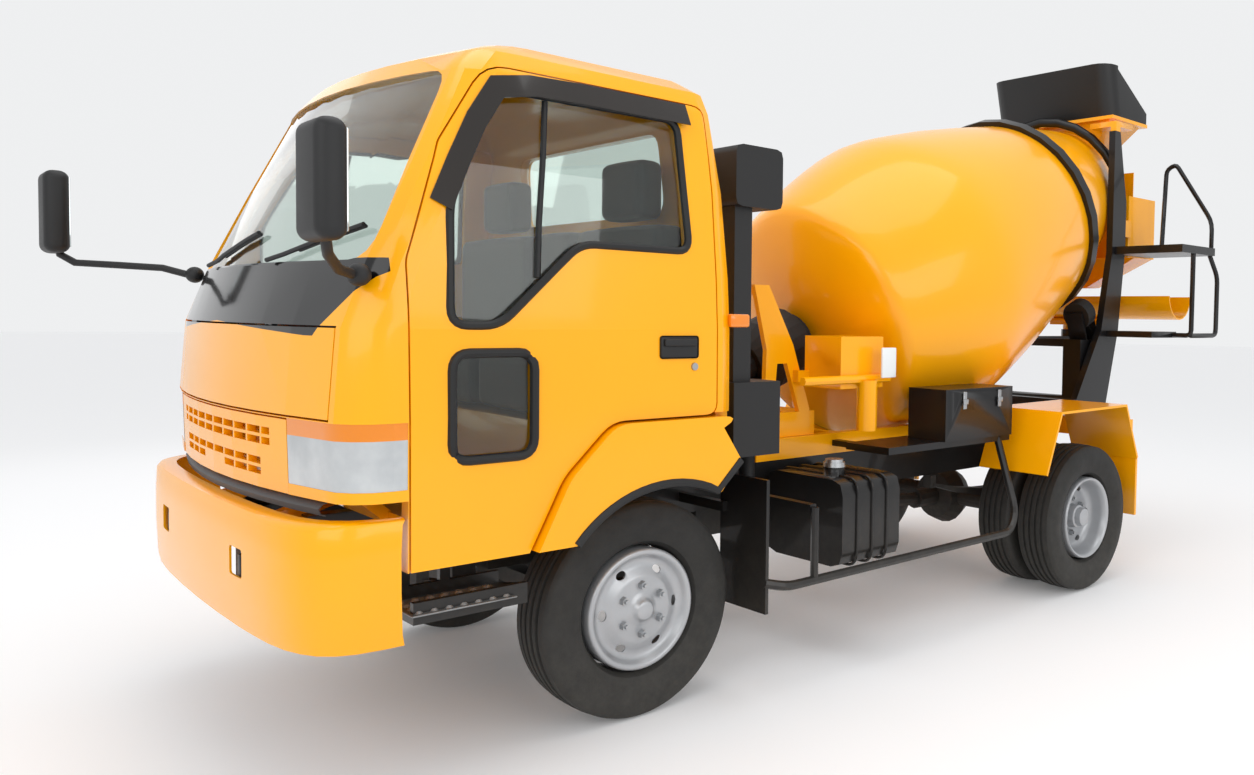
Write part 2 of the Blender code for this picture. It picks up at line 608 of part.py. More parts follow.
def cab_shell():
    """Roof, pillars, back wall, cowl and floor as one pressed shell."""
    shell = add("cab_shell", cab_skin(0), YELLOW)
    boolean(shell, "DIFFERENCE", guide(cab_skin(CAB_WALL, low=0.60)))
    for side in (-1, 1):
        boolean(shell, "DIFFERENCE", guide(sided(grown(DOOR_OUTLINE, SEAM), side)))
        boolean(shell, "DIFFERENCE", guide(lamp_zone(side, 0)))
        # The wings take the place of the skin round the front wheels.
        boolean(shell, "DIFFERENCE", guide(sided([(-0.40, 0.50), (0.490, 0.50), (0.490, 0.66), (0.430, 0.86),
                                                  (0.250, 1.016), (-0.40, 1.016)], side)))
    boolean(shell, "DIFFERENCE", guide(front_on(WINDSCREEN)))
    boolean(shell, "DIFFERENCE", guide(front_on(grown(LID_OUTLINE, SEAM), 0.60)))
    boolean(shell, "DIFFERENCE", guide(prism(REAR_WINDOW, "x", -0.60, 0.10)))
    low, high = GRILLE_ZONE
    boolean(shell, "DIFFERENCE", guide(box((0.60, low[0] - SEAM, 0.5), (1.3, high[0] + SEAM, LAMP_TOP))))
    # Nothing of the skin hangs below the strip under the lamps, or below the deck behind.
    boolean(shell, "DIFFERENCE", guide(box((DOOR_FRONT + 0.002, -1, 0.5), (1.3, 1, PANEL_BOTTOM))))
    boolean(shell, "DIFFERENCE", guide(box((-0.40, -0.60, 0.5), (0.0, 0.60, DECK_TOP - DECK_THICKNESS))))
    half = CAB_LEVELS[0][1] - CAB_WALL - 0.004
    edge = CAB_LEVELS[0][1] - CAB_WALL / 2
    wall = FIREWALL_X
    floor = FLOOR_TOP - FLOOR_THICKNESS
    deck = DECK_TOP - DECK_THICKNESS
    toe = prism([(0.790, floor), (0.800, floor), (wall + 0.020, 0.856), (wall + 0.020, 0.880),
                 (wall, 0.880), (0.790, FLOOR_TOP)], "y", -FIREWALL_HALF, FIREWALL_HALF)
    inside = [
        box((FOOTWELL_REAR - 0.03, -WING_INNER + TOUCH, floor), (0.490, WING_INNER - TOUCH, FLOOR_TOP)),
        box((0.480, -half, floor), (0.800, half, FLOOR_TOP)),
        toe,
        box((wall, -FIREWALL_HALF, 0.870), (wall + 0.020, FIREWALL_HALF, 1.380)),
        box((wall + 0.001, -0.815, LAMP_TOP + 0.015), (wall + 0.019, 0.815, LID_TOP - 0.01)),
        box((FOOTWELL_REAR - 0.03, -WING_INNER + TOUCH, floor + 0.01),
            (FOOTWELL_REAR, WING_INNER - TOUCH, DECK_TOP)),
        box((-0.262, -half, deck), (FOOTWELL_REAR - 0.005, half, DECK_TOP)),
        box((-0.270, -edge, DECK_TOP - 0.008), (DOOR_REAR - 0.02, edge, DECK_TOP + 0.03)),
    ]
    for y in (-0.640, 0.640):
        inside.append(box((wall + 0.010, y - 0.02, PANEL_BOTTOM + 0.004),
                          (0.975, y + 0.02, LAMP_BOTTOM - 0.004)))
        inside.append(box((wall - 0.010, y - 0.02, PANEL_BOTTOM + 0.010),
                          (wall + 0.018, y + 0.02, 0.890)))
    x, _, z = TILT_PIVOT
    for side in (-1, 1):
        low, high = sorted((side * (ARM_Y - 0.02), side * (ARM_Y + 0.02)))
        inside.append(prism([(0.780, floor), (0.780, FLOOR_TOP - 0.01), (0.810, FLOOR_TOP), (x, z + 0.024),
                             (x + 0.022, z + 0.012), (x + 0.022, z - 0.012), (x, z - 0.024)], "y", low, high))
    boolean(shell, "UNION", *[guide(bm) for bm in inside])
    bore = guide(rod((x, -RAIL_OUTER, z), (x, RAIL_OUTER, z), TILT_PIN + 0.0006, 16))
    return boolean(shell, "DIFFERENCE", bore)


def skin_piece(name, finish, region, outset, inset, pivot=(0, 0, 0)):
    """The part of the cab's skin that lies inside a region, between two depths."""
    piece = add(name, cab_skin(outset), finish, pivot)
    boolean(piece, "DIFFERENCE", guide(cab_skin(inset, low=0.60)))
    return boolean(piece, "INTERSECT", guide(region))


DOOR_HINGE = (DOOR_FRONT - 0.004, 0.868)
DOOR_THICKNESS = 0.044


def door(side):
    word = "left" if side > 0 else "right"
    hinge = (DOOR_HINGE[0], side * DOOR_HINGE[1], 1.2)
    made = skin_piece(f"door_{word}", YELLOW, sided(DOOR_OUTLINE, side), 0, DOOR_THICKNESS, hinge)
    boolean(made, "DIFFERENCE", guide(sided(WINDOW_OUTLINE, side)))
    if side > 0:
        boolean(made, "DIFFERENCE", guide(sided(LOWER_WINDOW, side)))
    # Two hinge leaves reach across the seam to the pillar.
    for z in (0.980, 1.250):
        lean = 0.006 * (z - CAB_BOTTOM + 0.02) / (1.470 - CAB_BOTTOM + 0.02)
        edge = DOOR_FRONT - 0.0067 + SEAM + lean - TOUCH
        leaf = box((0.780, DOOR_HINGE[1] - 0.036, z), (edge, DOOR_HINGE[1] - 0.012, z + 0.06))
        boolean(made, "UNION", guide(leaf if side > 0 else mirrored(leaf)))
    glass = grown(WINDOW_OUTLINE, -TOUCH)
    skin_piece(f"door_glass_{word}", GLASS, sided(glass, side), 0.016, 0.016 + GLASS_THICKNESS, hinge)
    if side > 0:
        pane = grown(LOWER_WINDOW, -TOUCH)
        skin_piece("door_lower_glass_left", GLASS, sided(pane, side), 0.010, 0.010 + GLASS_THICKNESS,
                   hinge)


LID_HINGE = (1.042, 0.0, LID_TOP - 0.002)
LID_THICKNESS = 0.025


def front_panels():
    """Service lid over the radiator, grille and headlamps."""
    lid = skin_piece("front_lid", YELLOW, front_on(LID_OUTLINE, 0.60), 0, LID_THICKNESS, LID_HINGE)
    for y in (-0.400, 0.400):
        boolean(lid, "UNION", guide(box((0.994, y - 0.03, LID_TOP - 0.012),
                                        (1.008, y + 0.03, LID_TOP + SEAM - TOUCH))))
    # The lid's lower edge is thin, so that it swings out past the lamps.
    behind = guide(cab_skin(0.008, low=0.60))
    boolean(behind, "INTERSECT", guide(box((0.60, -0.9, 0.90), (1.3, 0.9, LID_BOTTOM + 0.012))))
    boolean(lid, "DIFFERENCE", behind)
    low, high = GRILLE_ZONE
    zone = box((0.60, low[0], low[1]), (1.3, high[0], high[1]))
    grille = skin_piece("grille", YELLOW, zone, 0.002, 0.030)
    slots = [(1.000, 0.0, 0.452), (0.971, 0.0, 0.452), (0.913, 0.0, 0.392),
             (0.884, -0.250, 0.142), (0.884, 0.250, 0.142)]
    for z, y, half in slots:
        boolean(grille, "DIFFERENCE", guide(box((0.60, y - half, z - 0.010), (1.3, y + half, z + 0.010))))
    for y in (-0.500, 0.500):
        boolean(grille, "UNION", guide(box((FIREWALL_X + 0.020 + TOUCH, y - 0.02, 0.930),
                                           (1.005, y + 0.02, 0.960))))
    for side in (-1, 1):
        word = "left" if side > 0 else "right"
        skin_piece(f"headlamp_{word}", LENS, lamp_zone(side, TOUCH), 0.001, 0.050)


def windscreen_and_rear_window():
    skin_piece("windscreen", GLASS, front_on(grown(WINDSCREEN, -TOUCH)), GLASS_INSET,
               GLASS_INSET + GLASS_THICKNESS)
    pane = grown(REAR_WINDOW, -TOUCH)
    skin_piece("rear_window", GLASS, prism(pane, "x", -0.60, 0.10), GLASS_INSET,
               GLASS_INSET + GLASS_THICKNESS)


ARCH_RADIUS = 0.440


def wing(side):
    """The flared arch over a front wheel, hung under the cab's deck behind the door."""
    word = "left" if side > 0 else "right"
    arch = []
    for k in range(8):
        a = radians(44 + (118 - 44) * k / 7)
        arch.append((ARCH_RADIUS * cos(a), TYRE_RADIUS + ARCH_RADIUS * sin(a)))
    inner = [(0.325, 0.650)] + arch[1:] + [(-0.295, 0.845)]
    top = DECK_TOP - DECK_THICKNESS - TOUCH
    outer = rounded([(-0.295, DECK_TOP + 0.003, 0.02), (0.194, DECK_TOP + 0.003, 0.12), (0.351, 0.851, 0.20),
                     (0.453, 0.650, 0.0)], 0.05)
    low, high = sorted((side * WING_INNER, side * WING_OUTER))
    made = add(f"front_wing_{word}", prism(inner + outer, "y", low, high), YELLOW)
    low, high = sorted((side * (WING_INNER - 0.05), side * 0.843))
    return boolean(made, "DIFFERENCE", guide(box((-0.40, low, top), (0.60, high, 1.10))))


WHEEL_CENTRE = Vector((0.530, -0.420, 1.400))
COLUMN_AXIS = Vector((-0.439, 0, 0.898)).normalized()
STEERING_RADIUS = 0.195


def cab_fittings():
    """Dashboard with its column, the steering wheel and the seats."""
    back = FIREWALL_X - TOUCH
    dash = prism([(back, 1.080), (back, 1.360), (0.800, 1.370), (0.665, 1.290), (0.640, 1.180),
                  (0.700, 1.080)], "y", -0.780, 0.780)
    column = rod(WHEEL_CENTRE - COLUMN_AXIS * 0.500, WHEEL_CENTRE - COLUMN_AXIS * (0.030 + TOUCH), 0.030, 12)
    boolean(joined("dashboard", [dash, column], GREY), "INTERSECT",
            guide(cab_skin(CAB_WALL + 2 * TOUCH, low=0.60)))
    below = WHEEL_CENTRE - COLUMN_AXIS
    ring = turned([(1 + 0.014 * cos(2 * pi * k / 6), STEERING_RADIUS - 0.014 + 0.014 * sin(2 * pi * k / 6))
                   for k in range(6)], 16, below, WHEEL_CENTRE)
    hub = rod(WHEEL_CENTRE - COLUMN_AXIS * 0.030, WHEEL_CENTRE + COLUMN_AXIS * 0.010, 0.042, 12)
    spokes = []
    for turn in (90, 210, 330):
        spoke = box((0.02, -0.016, -0.006), (STEERING_RADIUS - 0.012, 0.016, 0.006))
        bmesh.ops.rotate(spoke, cent=(0, 0, 0), matrix=Matrix.Rotation(radians(turn), 3, "Z"),
                         verts=spoke.verts)
        lean = Vector((0, 0, 1)).rotation_difference(COLUMN_AXIS).to_matrix().to_4x4()
        bmesh.ops.transform(spoke, matrix=Matrix.Translation(WHEEL_CENTRE) @ lean, verts=spoke.verts)
        spokes.append(spoke)
    joined("steering_wheel", [hub, ring] + spokes, PLASTIC, WHEEL_CENTRE)
    base = DECK_TOP + TOUCH
    shapes = [box((-0.190, -0.740, base), (0.280, 0.740, base + 0.030))]
    for low, high, rest in ((-0.720, -0.230, -0.475), (-0.200, 0.240, None), (0.250, 0.720, 0.485)):
        shapes.append(box((-0.180, low, base + 0.010), (0.340, high, base + 0.150)))
        top = 1.700 if rest else 1.500
        shapes.append(prism([(-0.200, base + 0.010), (-0.010, base + 0.120), (-0.090, top), (-0.195, top)],
                            "y", low + 0.005, high - 0.005))
        if rest:
            shapes.append(box((-0.185, rest - 0.130, top - 0.02), (-0.100, rest + 0.130, 1.880)))
    joined("seats", shapes, CLOTH)


MIRROR_REACH = 1.135           # side of the truck to the outer edges of the mirrors


def mirror(side):
    """A mirror on its arm; the arm ends against the skin at the cowl's corner."""
    if side > 0:
        shapes = [pipe([(0.830, 0.780, 1.420), (0.955, 0.850, 1.430), (1.050, 1.000, 1.480),
                        (1.070, 1.050, 1.560)], 0.018, 8, 0.06),
                  box((1.040, MIRROR_REACH - 0.170, 1.490), (1.115, MIRROR_REACH, 1.770))]
        name = "mirror_left"
    else:
        low, high = -MIRROR_REACH, -MIRROR_REACH + 0.160
        shapes = [pipe([(0.830, -0.780, 1.440), (0.977, -0.870, 1.480), (1.230, -1.030, 1.490),
                        (1.285, -1.050, 1.570)], 0.018, 8, 0.06),
                  box((FRONT_REACH - 0.080, low, 1.522), (FRONT_REACH, high, 1.818))]
        name = "mirror_right"
    made = joined(name, shapes, BLACK)
    return boolean(made, "DIFFERENCE", guide(cab_skin(-TOUCH)))


cab_shell()
for side in (-1, 1):
    door(side)
front_panels()
windscreen_and_rear_window()
for side in (-1, 1):
    wing(side)
cab_fittings()
for side in (-1, 1):
    mirror(side)


# ---- front of the chassis ---------------------------------------------------------------
BUMPER_WALL = 0.022


def bumper_band(inset, depth, low, high):
    """A band that follows the bumper's bowed front in plan."""
    front = [(0.0, 1.092), (0.20, 1.090), (0.40, 1.084), (0.60, 1.070), (0.72, 1.050), (0.80, 1.010),
             (0.850, 0.935), (0.858, 0.815)]
    outer = [(x - inset, y * (1 - inset / 0.9)) for y, x in front]
    inner = [(x - depth, y * (1 - depth * 0.9)) for y, x in front]
    inner[-1] = (0.815, inner[-1][1])
    outer[-1] = (0.815, outer[-1][1])
    whole = [(x, -y) for x, y in outer[:0:-1]] + outer + inner[::-1] + [(x, -y) for x, y in inner[1:]]
    return prism(whole, "z", low, high)


def bumper():
    """Front bumper, a deep pressing open at the back, with the grey filler under the grille."""
    body = add("front_bumper", bumper_band(0, 0.070, 0.455, 0.810), YELLOW)
    boolean(body, "DIFFERENCE", guide(bumper_band(BUMPER_WALL, 0.120, 0.400, 0.790 - BUMPER_WALL)))
    boolean(body, "DIFFERENCE", guide(box((0.90, -0.430, 0.790), (1.20, 0.430, 0.90))))
    # The top flange stops short of the path of the cab's lower edge as the cab tilts.
    x, _, z = TILT_PIVOT
    path = guide(box((0.60, -1.0, 0.60), (0.95, 1.0, 0.90)))
    boolean(path, "DIFFERENCE", guide(rod((x, -1.1, z), (x, 1.1, z), 0.184, 48)))
    boolean(body, "DIFFERENCE", path)
    for side in (-1, 1):
        slope = prism([(0.775, 0.812), (0.812, 0.740), (0.95, 0.740), (0.95, 0.90), (0.775, 0.90)],
                      "x", 0.7, 1.2)
        boolean(body, "DIFFERENCE", guide(slope if side > 0 else mirrored(slope)))
        low, high = sorted((side * 0.350, side * 0.450))
        boolean(body, "DIFFERENCE", guide(box((0.95, low, 0.600), (1.20, high, 0.680))))
    shapes = []
    for y in (-0.200, 0.200):
        shapes.append(box((FRONT_CROSS_X + 0.03 + TOUCH, y - 0.02, 0.600), (1.070, y + 0.02, 0.645)))
    boolean(body, "UNION", *[guide(bm) for bm in shapes])
    # The filler is a strip of the cab's own outline, a little further in, fixed to the bumper.
    filler = guide(cab_skin(0.022))
    boolean(filler, "DIFFERENCE", guide(cab_skin(0.046, low=0.60)))
    boolean(filler, "INTERSECT", guide(box((0.90, -0.700, 0.786), (1.30, 0.700, 0.828))))
    return boolean(body, "UNION", filler)


def driveline():
    """Engine block, gearbox, propeller shaft, radiator and silencer as one body."""
    shapes = [box((-0.450, -0.240, 0.450), (0.290, 0.240, 0.940)),
              box((0.280, -0.150, 0.500), (0.345, 0.150, 0.640)),
              box((0.340, -0.250, 0.400), (0.420, 0.250, 0.670)),
              box((-0.950, -0.130, 0.400), (-0.440, 0.130, 0.585)),
              pipe([(-0.940, 0, 0.480), (-1.300, 0, 0.455), (REAR_AXLE + 0.30, 0, TYRE_RADIUS),
                    (REAR_AXLE + 0.25 + TOUCH, 0, TYRE_RADIUS)], 0.035, 10),
              pipe([(-0.300, -0.200, 0.510), (-0.420, -0.340, 0.510), (-0.560, -0.500, 0.500),
                    (-0.700, -0.500, 0.500)], 0.025, 8, 0.05),
              rod((-0.640, -0.500, 0.500), (-1.020, -0.500, 0.500), 0.080, 16),
              pipe([(-1.000, -0.500, 0.500), (-1.080, -0.500, 0.500), (-1.120, -0.580, 0.470),
                    (-1.120, -0.800, 0.450)], 0.025, 8, 0.04)]
    reach = RAIL_OUTER - RAIL_FLANGE - TOUCH
    shapes.append(box((-0.120, -reach, RAIL_BOTTOM - 0.006), (-0.050, reach, RAIL_BOTTOM + 0.030)))
    return joined("engine_and_driveline", shapes, IRON)


def snorkel():
    """Air intake that stands behind the cab on the left."""
    foot = RAIL_TOP + TOUCH
    shapes = [prism(rounded([(-0.600, 1.730), (-0.380, 1.730), (-0.380, 1.950), (-0.600, 1.950)], 0.03, 2),
                    "y", 0.580, 0.740),
              box((-0.480, 0.610, 1.080), (-0.400, 0.710, 1.750)),
              box((-0.600, 0.580, 0.830), (-0.380, 0.740, 1.100)),
              rod((-0.510, 0.660, 0.620), (-0.510, 0.660, 0.850), 0.030, 10),
              box((-0.520, RAIL_OUTER - 0.050, foot), (-0.480, 0.600, foot + 0.040)),
              box((-0.520, 0.570, foot), (-0.480, 0.600, 0.900))]
    return joined("air_intake", shapes, PLASTIC)


SHELF_TOP = 0.800


def side_guard(side):
    """Front mudguard, guard tube and the shelf over it, on brackets from the frame."""
    sill = RAIL_OUTER + 0.004 + TOUCH
    rail = RAIL_OUTER + TOUCH
    shapes = [box((-0.450, 0.600, 0.280), (-0.436, 0.860, 0.760)),
              box((-0.445, rail, 0.620), (-0.415, 0.640, 0.655)),
              pipe([(-0.440, 0.850, 0.390), (-0.520, 0.880, 0.370), (-1.900, 0.880, 0.370),
                    (-1.980, 0.850, 0.450), (-1.980, 0.735, 0.790)], 0.018, 8, 0.06),
              box((-2.060, 0.500, SHELF_TOP - 0.030), (-1.200, 0.750, SHELF_TOP))]
    for x in (-1.260, -1.960):
        shapes.append(box((x - 0.02, sill, SHELF_TOP - 0.030), (x + 0.02, 0.520, SHELF_TOP - 0.004)))
    if side > 0:
        shapes += [box((-0.670, rail, 0.620), (-0.640, 0.870, 0.650)),
                   pipe([(-0.655, 0.880, 0.640), (-0.655, 0.880, 0.370)], 0.015, 8)]
    else:
        shapes += [box((-1.620, 0.600, 0.430), (-1.240, 0.840, 0.780)),
                   pipe([(-1.430, 0.850, 0.500), (-1.430, 0.880, 0.370)], 0.018, 8)]
    name = "side_guard_left" if side > 0 else "side_guard_right"
    return joined(name, shapes if side > 0 else [mirrored(shape) for shape in shapes], BLACK)


def fuel_tank():
    rail = RAIL_OUTER + TOUCH
    shapes = [prism(rounded([(0.400, 0.370), (0.840, 0.370), (0.840, 0.710), (0.400, 0.710)], 0.06, 2),
                    "x", -1.170, -0.840),
              rod((-0.930, 0.700, 0.700), (-0.930, 0.700, 0.745), 0.045, 14)]
    for x in (-1.100, -0.920):
        shapes.append(box((x - 0.015, rail, 0.600), (x + 0.015, 0.420, 0.650)))
    return joined("fuel_tank", shapes, BLACK)


BOX_WALL = 0.012
BOX_FACE = 0.760               # outer face of the toolbox's body


def toolbox():
    """Steel box on the left shelf, with a lid that drops outwards from its bottom edge."""
    low = (-2.040, 0.560, SHELF_TOP + TOUCH)
    high = (-1.540, BOX_FACE, 1.030)
    body = add("toolbox", box(low, high), BLACK)
    boolean(body, "DIFFERENCE", guide(box((low[0] + BOX_WALL, low[1] + BOX_WALL, low[2] + BOX_WALL),
                                          (high[0] - BOX_WALL, 0.90, high[2] - BOX_WALL))))
    hinge = (-1.790, BOX_FACE + 0.012, low[2])
    lid = box((low[0], BOX_FACE + TOUCH, low[2]), (high[0], BOX_FACE + 0.016, high[2]))
    shapes = [lid]
    for x in (-1.920, -1.660):
        shapes.append(box((x - 0.015, BOX_FACE + 0.010, 0.970), (x + 0.015, BOX_FACE + 0.026, 1.010)))
    joined("toolbox_lid", shapes, BLACK, hinge)


bumper()
driveline()
snorkel()
for side in (-1, 1):
    side_guard(side)
fuel_tank()
toolbox()


# ---- mixer ---------------------------------------------------------------------------
AXIS = Vector((-cos(DRUM_TILT), 0, sin(DRUM_TILT)))
ACROSS = Vector((sin(DRUM_TILT), 0, cos(DRUM_TILT)))
DRUM_STEPS = 28
DRUM_OUTLINE = ((0.030, 0.260), (0.125, 0.585), (0.250, 0.630), (0.450, 0.690), (0.750, 0.750),
                (1.200, 0.700), (1.815, 0.575), (2.480, 0.380))
MOUTH_RADIUS = 0.350
RING_WIDTH = 0.060


def on_axis(along):
    """The point of the drum's axis at a distance from its nose."""
    return Vector(DRUM_NOSE) + AXIS * along


def drum_radius(along):
    """The drum's outer radius at a distance from its nose."""
    for (a, r), (b, q) in zip(DRUM_OUTLINE, DRUM_OUTLINE[1:]):
        if a <= along <= b:
            return r + (q - r) * (along - a) / (b - a)
    return DRUM_OUTLINE[0][1]


def drum():
    """Double-cone shell, open at its mouth, with the black ring it rolls on."""
    outer = [(0.0, 0.130)] + list(DRUM_OUTLINE)
    lip = DRUM_OUTLINE[-1][0]
    inner = [(lip, MOUTH_RADIUS), (lip - 0.050, drum_radius(lip - 0.050) - DRUM_SKIN)]
    inner += [(a, r - DRUM_SKIN) for a, r in DRUM_OUTLINE[-2:1:-1]]
    inner += [(0.125 + DRUM_SKIN, 0.575), (0.030 + DRUM_SKIN, 0.250), (0.030 + DRUM_SKIN, 0.0)]
    profile = [(0.0, 0.0)] + outer + inner
    add("mixer_drum", turned(profile, DRUM_STEPS, DRUM_NOSE, on_axis(1)), YELLOW, DRUM_NOSE)
    low = RING_PLACE - RING_WIDTH / 2
    high = RING_PLACE + RING_WIDTH / 2
    gap = 0.0008
    under = [(a, r + gap) for a, r in DRUM_OUTLINE[::-1] if low < a < high]
    ring = [(low, drum_radius(low) + gap), (low, RING_RADIUS), (high, RING_RADIUS),
            (high, drum_radius(high) + gap)] + under
    add("drum_ring", turned(ring, DRUM_STEPS, DRUM_NOSE, on_axis(1)), BLACK, DRUM_NOSE)


ROLLER_SPREAD = 0.400          # centre line of the truck to a roller


def roller_centre(side):
    """Where a roller of the ring's size meets the ring from below."""
    reach = RING_RADIUS + RUNNING + ROLLER_RADIUS
    drop = (reach ** 2 - ROLLER_SPREAD ** 2) ** 0.5
    return on_axis(RING_PLACE) - ACROSS * drop + Vector((0, side * ROLLER_SPREAD, 0))


def rollers():
    for side in (-1, 1):
        word = "left" if side > 0 else "right"
        centre = roller_centre(side)
        body = rod(centre - AXIS * 0.040, centre + AXIS * 0.040, ROLLER_RADIUS, 18)
        add(f"roller_{word}", body, STEEL, centre)


def pedestal_and_drive():
    """Leaning plates that carry the drum's gearbox, and the gearbox with its motor."""
    outline = [(-0.800, 1.470), (-0.880, 1.470), (-1.020, 1.220), (-1.120, 0.940), (-1.120, 0.826),
               (-0.860, 0.826), (-0.870, 1.200)]
    hole = [(-0.930, 1.140), (-0.985, 1.140), (-1.060, 0.930), (-0.910, 0.930)]
    shapes = []
    base = SUBFRAME_TOP + TOUCH
    outline = [(x, max(z, base)) for x, z in outline]
    front = add("drum_pedestal", prism(outline, "y", 0.325, 0.350), YELLOW)
    shapes.append(prism(outline, "y", -0.350, -0.325))
    shapes.append(box((-1.160, -0.340, base), (-1.000, 0.340, 0.930)))
    shapes.append(box((-0.880, -0.340, 1.430), (-0.840, 0.340, 1.460)))
    boolean(front, "UNION", *[guide(bm) for bm in shapes])
    for y in (-0.340, 0.340):
        boolean(front, "DIFFERENCE", guide(prism(hole, "y", y - 0.03, y + 0.03)))
    gear = turned([(-0.330, 0), (-0.330, 0.110), (-0.240, 0.170), (-0.060, 0.170), (-0.040, 0.120),
                   (-TOUCH, 0.120), (-TOUCH, 0)], 20, DRUM_NOSE, on_axis(1))
    motor = rod(on_axis(-0.320), on_axis(-0.480), 0.080, 14)
    foot = box((-1.150, -0.090, 0.930 + TOUCH), (-1.040, 0.090, 1.060))
    joined("drum_gearbox", [gear, motor, foot], GREY)


def control_box():
    """Yellow box with its gauge, and the bar and filter beside it."""
    shapes = [box((-1.340, 0.360, 1.040), (-1.080, 0.580, 1.260)),
              box((-1.100, 0.350 + TOUCH, 1.060), (-1.020, 0.385, 1.110)),
              pipe([(-0.850, 0.595, 1.080), (-1.360, 0.595, 1.080)], 0.018, 8),
              rod((-1.220, 0.600, 0.860), (-1.220, 0.600, 1.075), 0.045, 12)]
    joined("control_box", shapes, YELLOW)


def rear_frame():
    """Black pedestal under the drum's ring, with the uprights and the hoop round its mouth."""
    base = SUBFRAME_TOP + TOUCH
    body = add("rear_frame", box((-3.300, -0.510, base), (-2.960, 0.510, 0.900)), BLACK)
    shapes = []
    outline = [(-3.000, base), (-3.250, 1.220), (-3.300, 1.300), (-3.400, 1.750), (-3.400, 2.460),
               (-3.460, 2.460), (-3.550, 2.050), (-3.550, 1.770), (-3.490, 1.290), (-3.360, base)]
    for side in (-1, 1):
        low, high = sorted((side * 0.470, side * 0.510))
        shapes.append(prism(outline, "y", low, high))
        low, high = sorted((side * (ROLLER_SPREAD - 0.058), side * (ROLLER_SPREAD + 0.058)))
        shapes.append(box((-3.310, low, 0.880), (-3.160, high, 1.235)))
        shapes.append(box((-3.400, low, 1.130), (-3.200, high, 1.230)))
        centre = roller_centre(side)
        for end in (-1, 1):
            plate = box((end * 0.056 - 0.007, -0.055, -0.260), (end * 0.056 + 0.007, 0.055, 0.030))
            turned_about(plate, (0, 0, 0), "Y", DRUM_TILT)
            bmesh.ops.translate(plate, vec=centre, verts=plate.verts)
            shapes.append(plate)
            start = centre + AXIS * end * 0.060
            shapes.append(rod(start, centre + AXIS * end * (0.040 + TOUCH), 0.018, 10))
    top = on_axis(2.390)
    hoop = [(-3.400, 0.460, 0.920), (-3.530, 0.460, 1.350), tuple(top + Vector((0, 0.460, -0.02)))]
    for k in range(1, 12):
        a = pi * k / 12
        hoop.append(tuple(top + Vector((0, 0.460 * cos(a), 0)) + ACROSS * 0.460 * sin(a)))
    hoop += [(x, -y, z) for x, y, z in hoop[2::-1]]
    shapes.append(pipe(hoop, 0.028, 8))
    # The chute's bearing stands on an arm behind the pedestal.
    x = CHUTE_PIVOT[0]
    shapes.append(box((x - 0.05, -0.045, 1.190), (-3.290, 0.045, 1.245)))
    shapes.append(box((-3.310, -0.350, 1.190), (-3.270, 0.350, 1.235)))
    shapes.append(rod((x, 0, 1.180), (x, 0, CHUTE_SEAT), 0.060, 14))
    return boolean(body, "UNION", *[guide(bm) for bm in shapes])


CHUTE_PIVOT = (-3.790, 0.0, 1.290)
CHUTE_SEAT = 1.290
CHUTE_RADIUS = 0.140
CHUTE_HEIGHT = 1.500           # top edges of the chute


def chute():
    """Half-round discharge chute on its swivel pin."""
    steps = 10
    x0 = CHUTE_PIVOT[0]
    outer, inner = [], []
    for k in range(steps + 1):
        a = pi + pi * k / steps
        outer.append((x0 + CHUTE_RADIUS * cos(a), CHUTE_HEIGHT + CHUTE_RADIUS * sin(a)))
        inner.append((x0 + (CHUTE_RADIUS - 0.008) * cos(a), CHUTE_HEIGHT + (CHUTE_RADIUS - 0.008) * sin(a)))
    trough = prism(outer + inner[::-1], "y", -0.160, 0.750)
    seat = CHUTE_SEAT + TOUCH
    pin = rod((x0, 0, seat), (x0, 0, CHUTE_HEIGHT - CHUTE_RADIUS + 0.004), 0.050, 14)
    cradle = box((x0 - 0.060, -0.120, 1.320), (x0 + 0.060, 0.300, CHUTE_HEIGHT - CHUTE_RADIUS + 0.002))
    cut = rod((x0, -0.20, CHUTE_HEIGHT), (x0, 0.80, CHUTE_HEIGHT), CHUTE_RADIUS - 0.004, 20)
    made = joined("chute", [cradle, pin], YELLOW, (x0, 0, CHUTE_SEAT))
    boolean(made, "DIFFERENCE", guide(cut))
    return boolean(made, "UNION", guide(trough))


def funnel_shell(top, bottom, wall):
    """A tapering open shell between two plan rectangles, given as (x0, x1, half width, z)."""
    def ring(place, inset, lift):
        x0, x1, half, z = place
        return [(x0 + inset, -half + inset, z + lift), (x1 - inset, -half + inset, z + lift),
                (x1 - inset, half - inset, z + lift), (x0 + inset, half - inset, z + lift)]
    outside = loft([ring(bottom, 0, 0), ring(top, 0, 0)])
    slope = 0.01
    inside = loft([ring(bottom, wall, -slope), ring(bottom, wall, 0), ring(top, wall, 0),
                   ring(top, wall, slope)])
    return outside, inside


HOPPER_TOP = 2.580


def hopper():
    """Charging funnel over the drum's mouth, on arms from the uprights."""
    top = (-3.920, -3.540, 0.400, HOPPER_TOP)
    bottom = (-3.700, -3.600, 0.160, 2.250)
    outside, inside = funnel_shell(top, bottom, 0.008)
    made = add("hopper", outside, YELLOW)
    shapes = [box((-3.930, -0.430, HOPPER_TOP - 0.020), (-3.505, 0.430, HOPPER_TOP))]
    for side in (-1, 1):
        low, high = sorted((side * 0.334, side * 0.508))
        shapes.append(box((-3.610, low, 2.490), (-3.412, high, 2.520)))
        low, high = sorted((side * 0.472, side * 0.508))
        shapes.append(box((-3.460, low, 2.460 + TOUCH), (-3.412, high, 2.510)))
    boolean(made, "UNION", *[guide(bm) for bm in shapes])
    boolean(made, "DIFFERENCE", guide(inside))


HOOD_WALL = 0.012


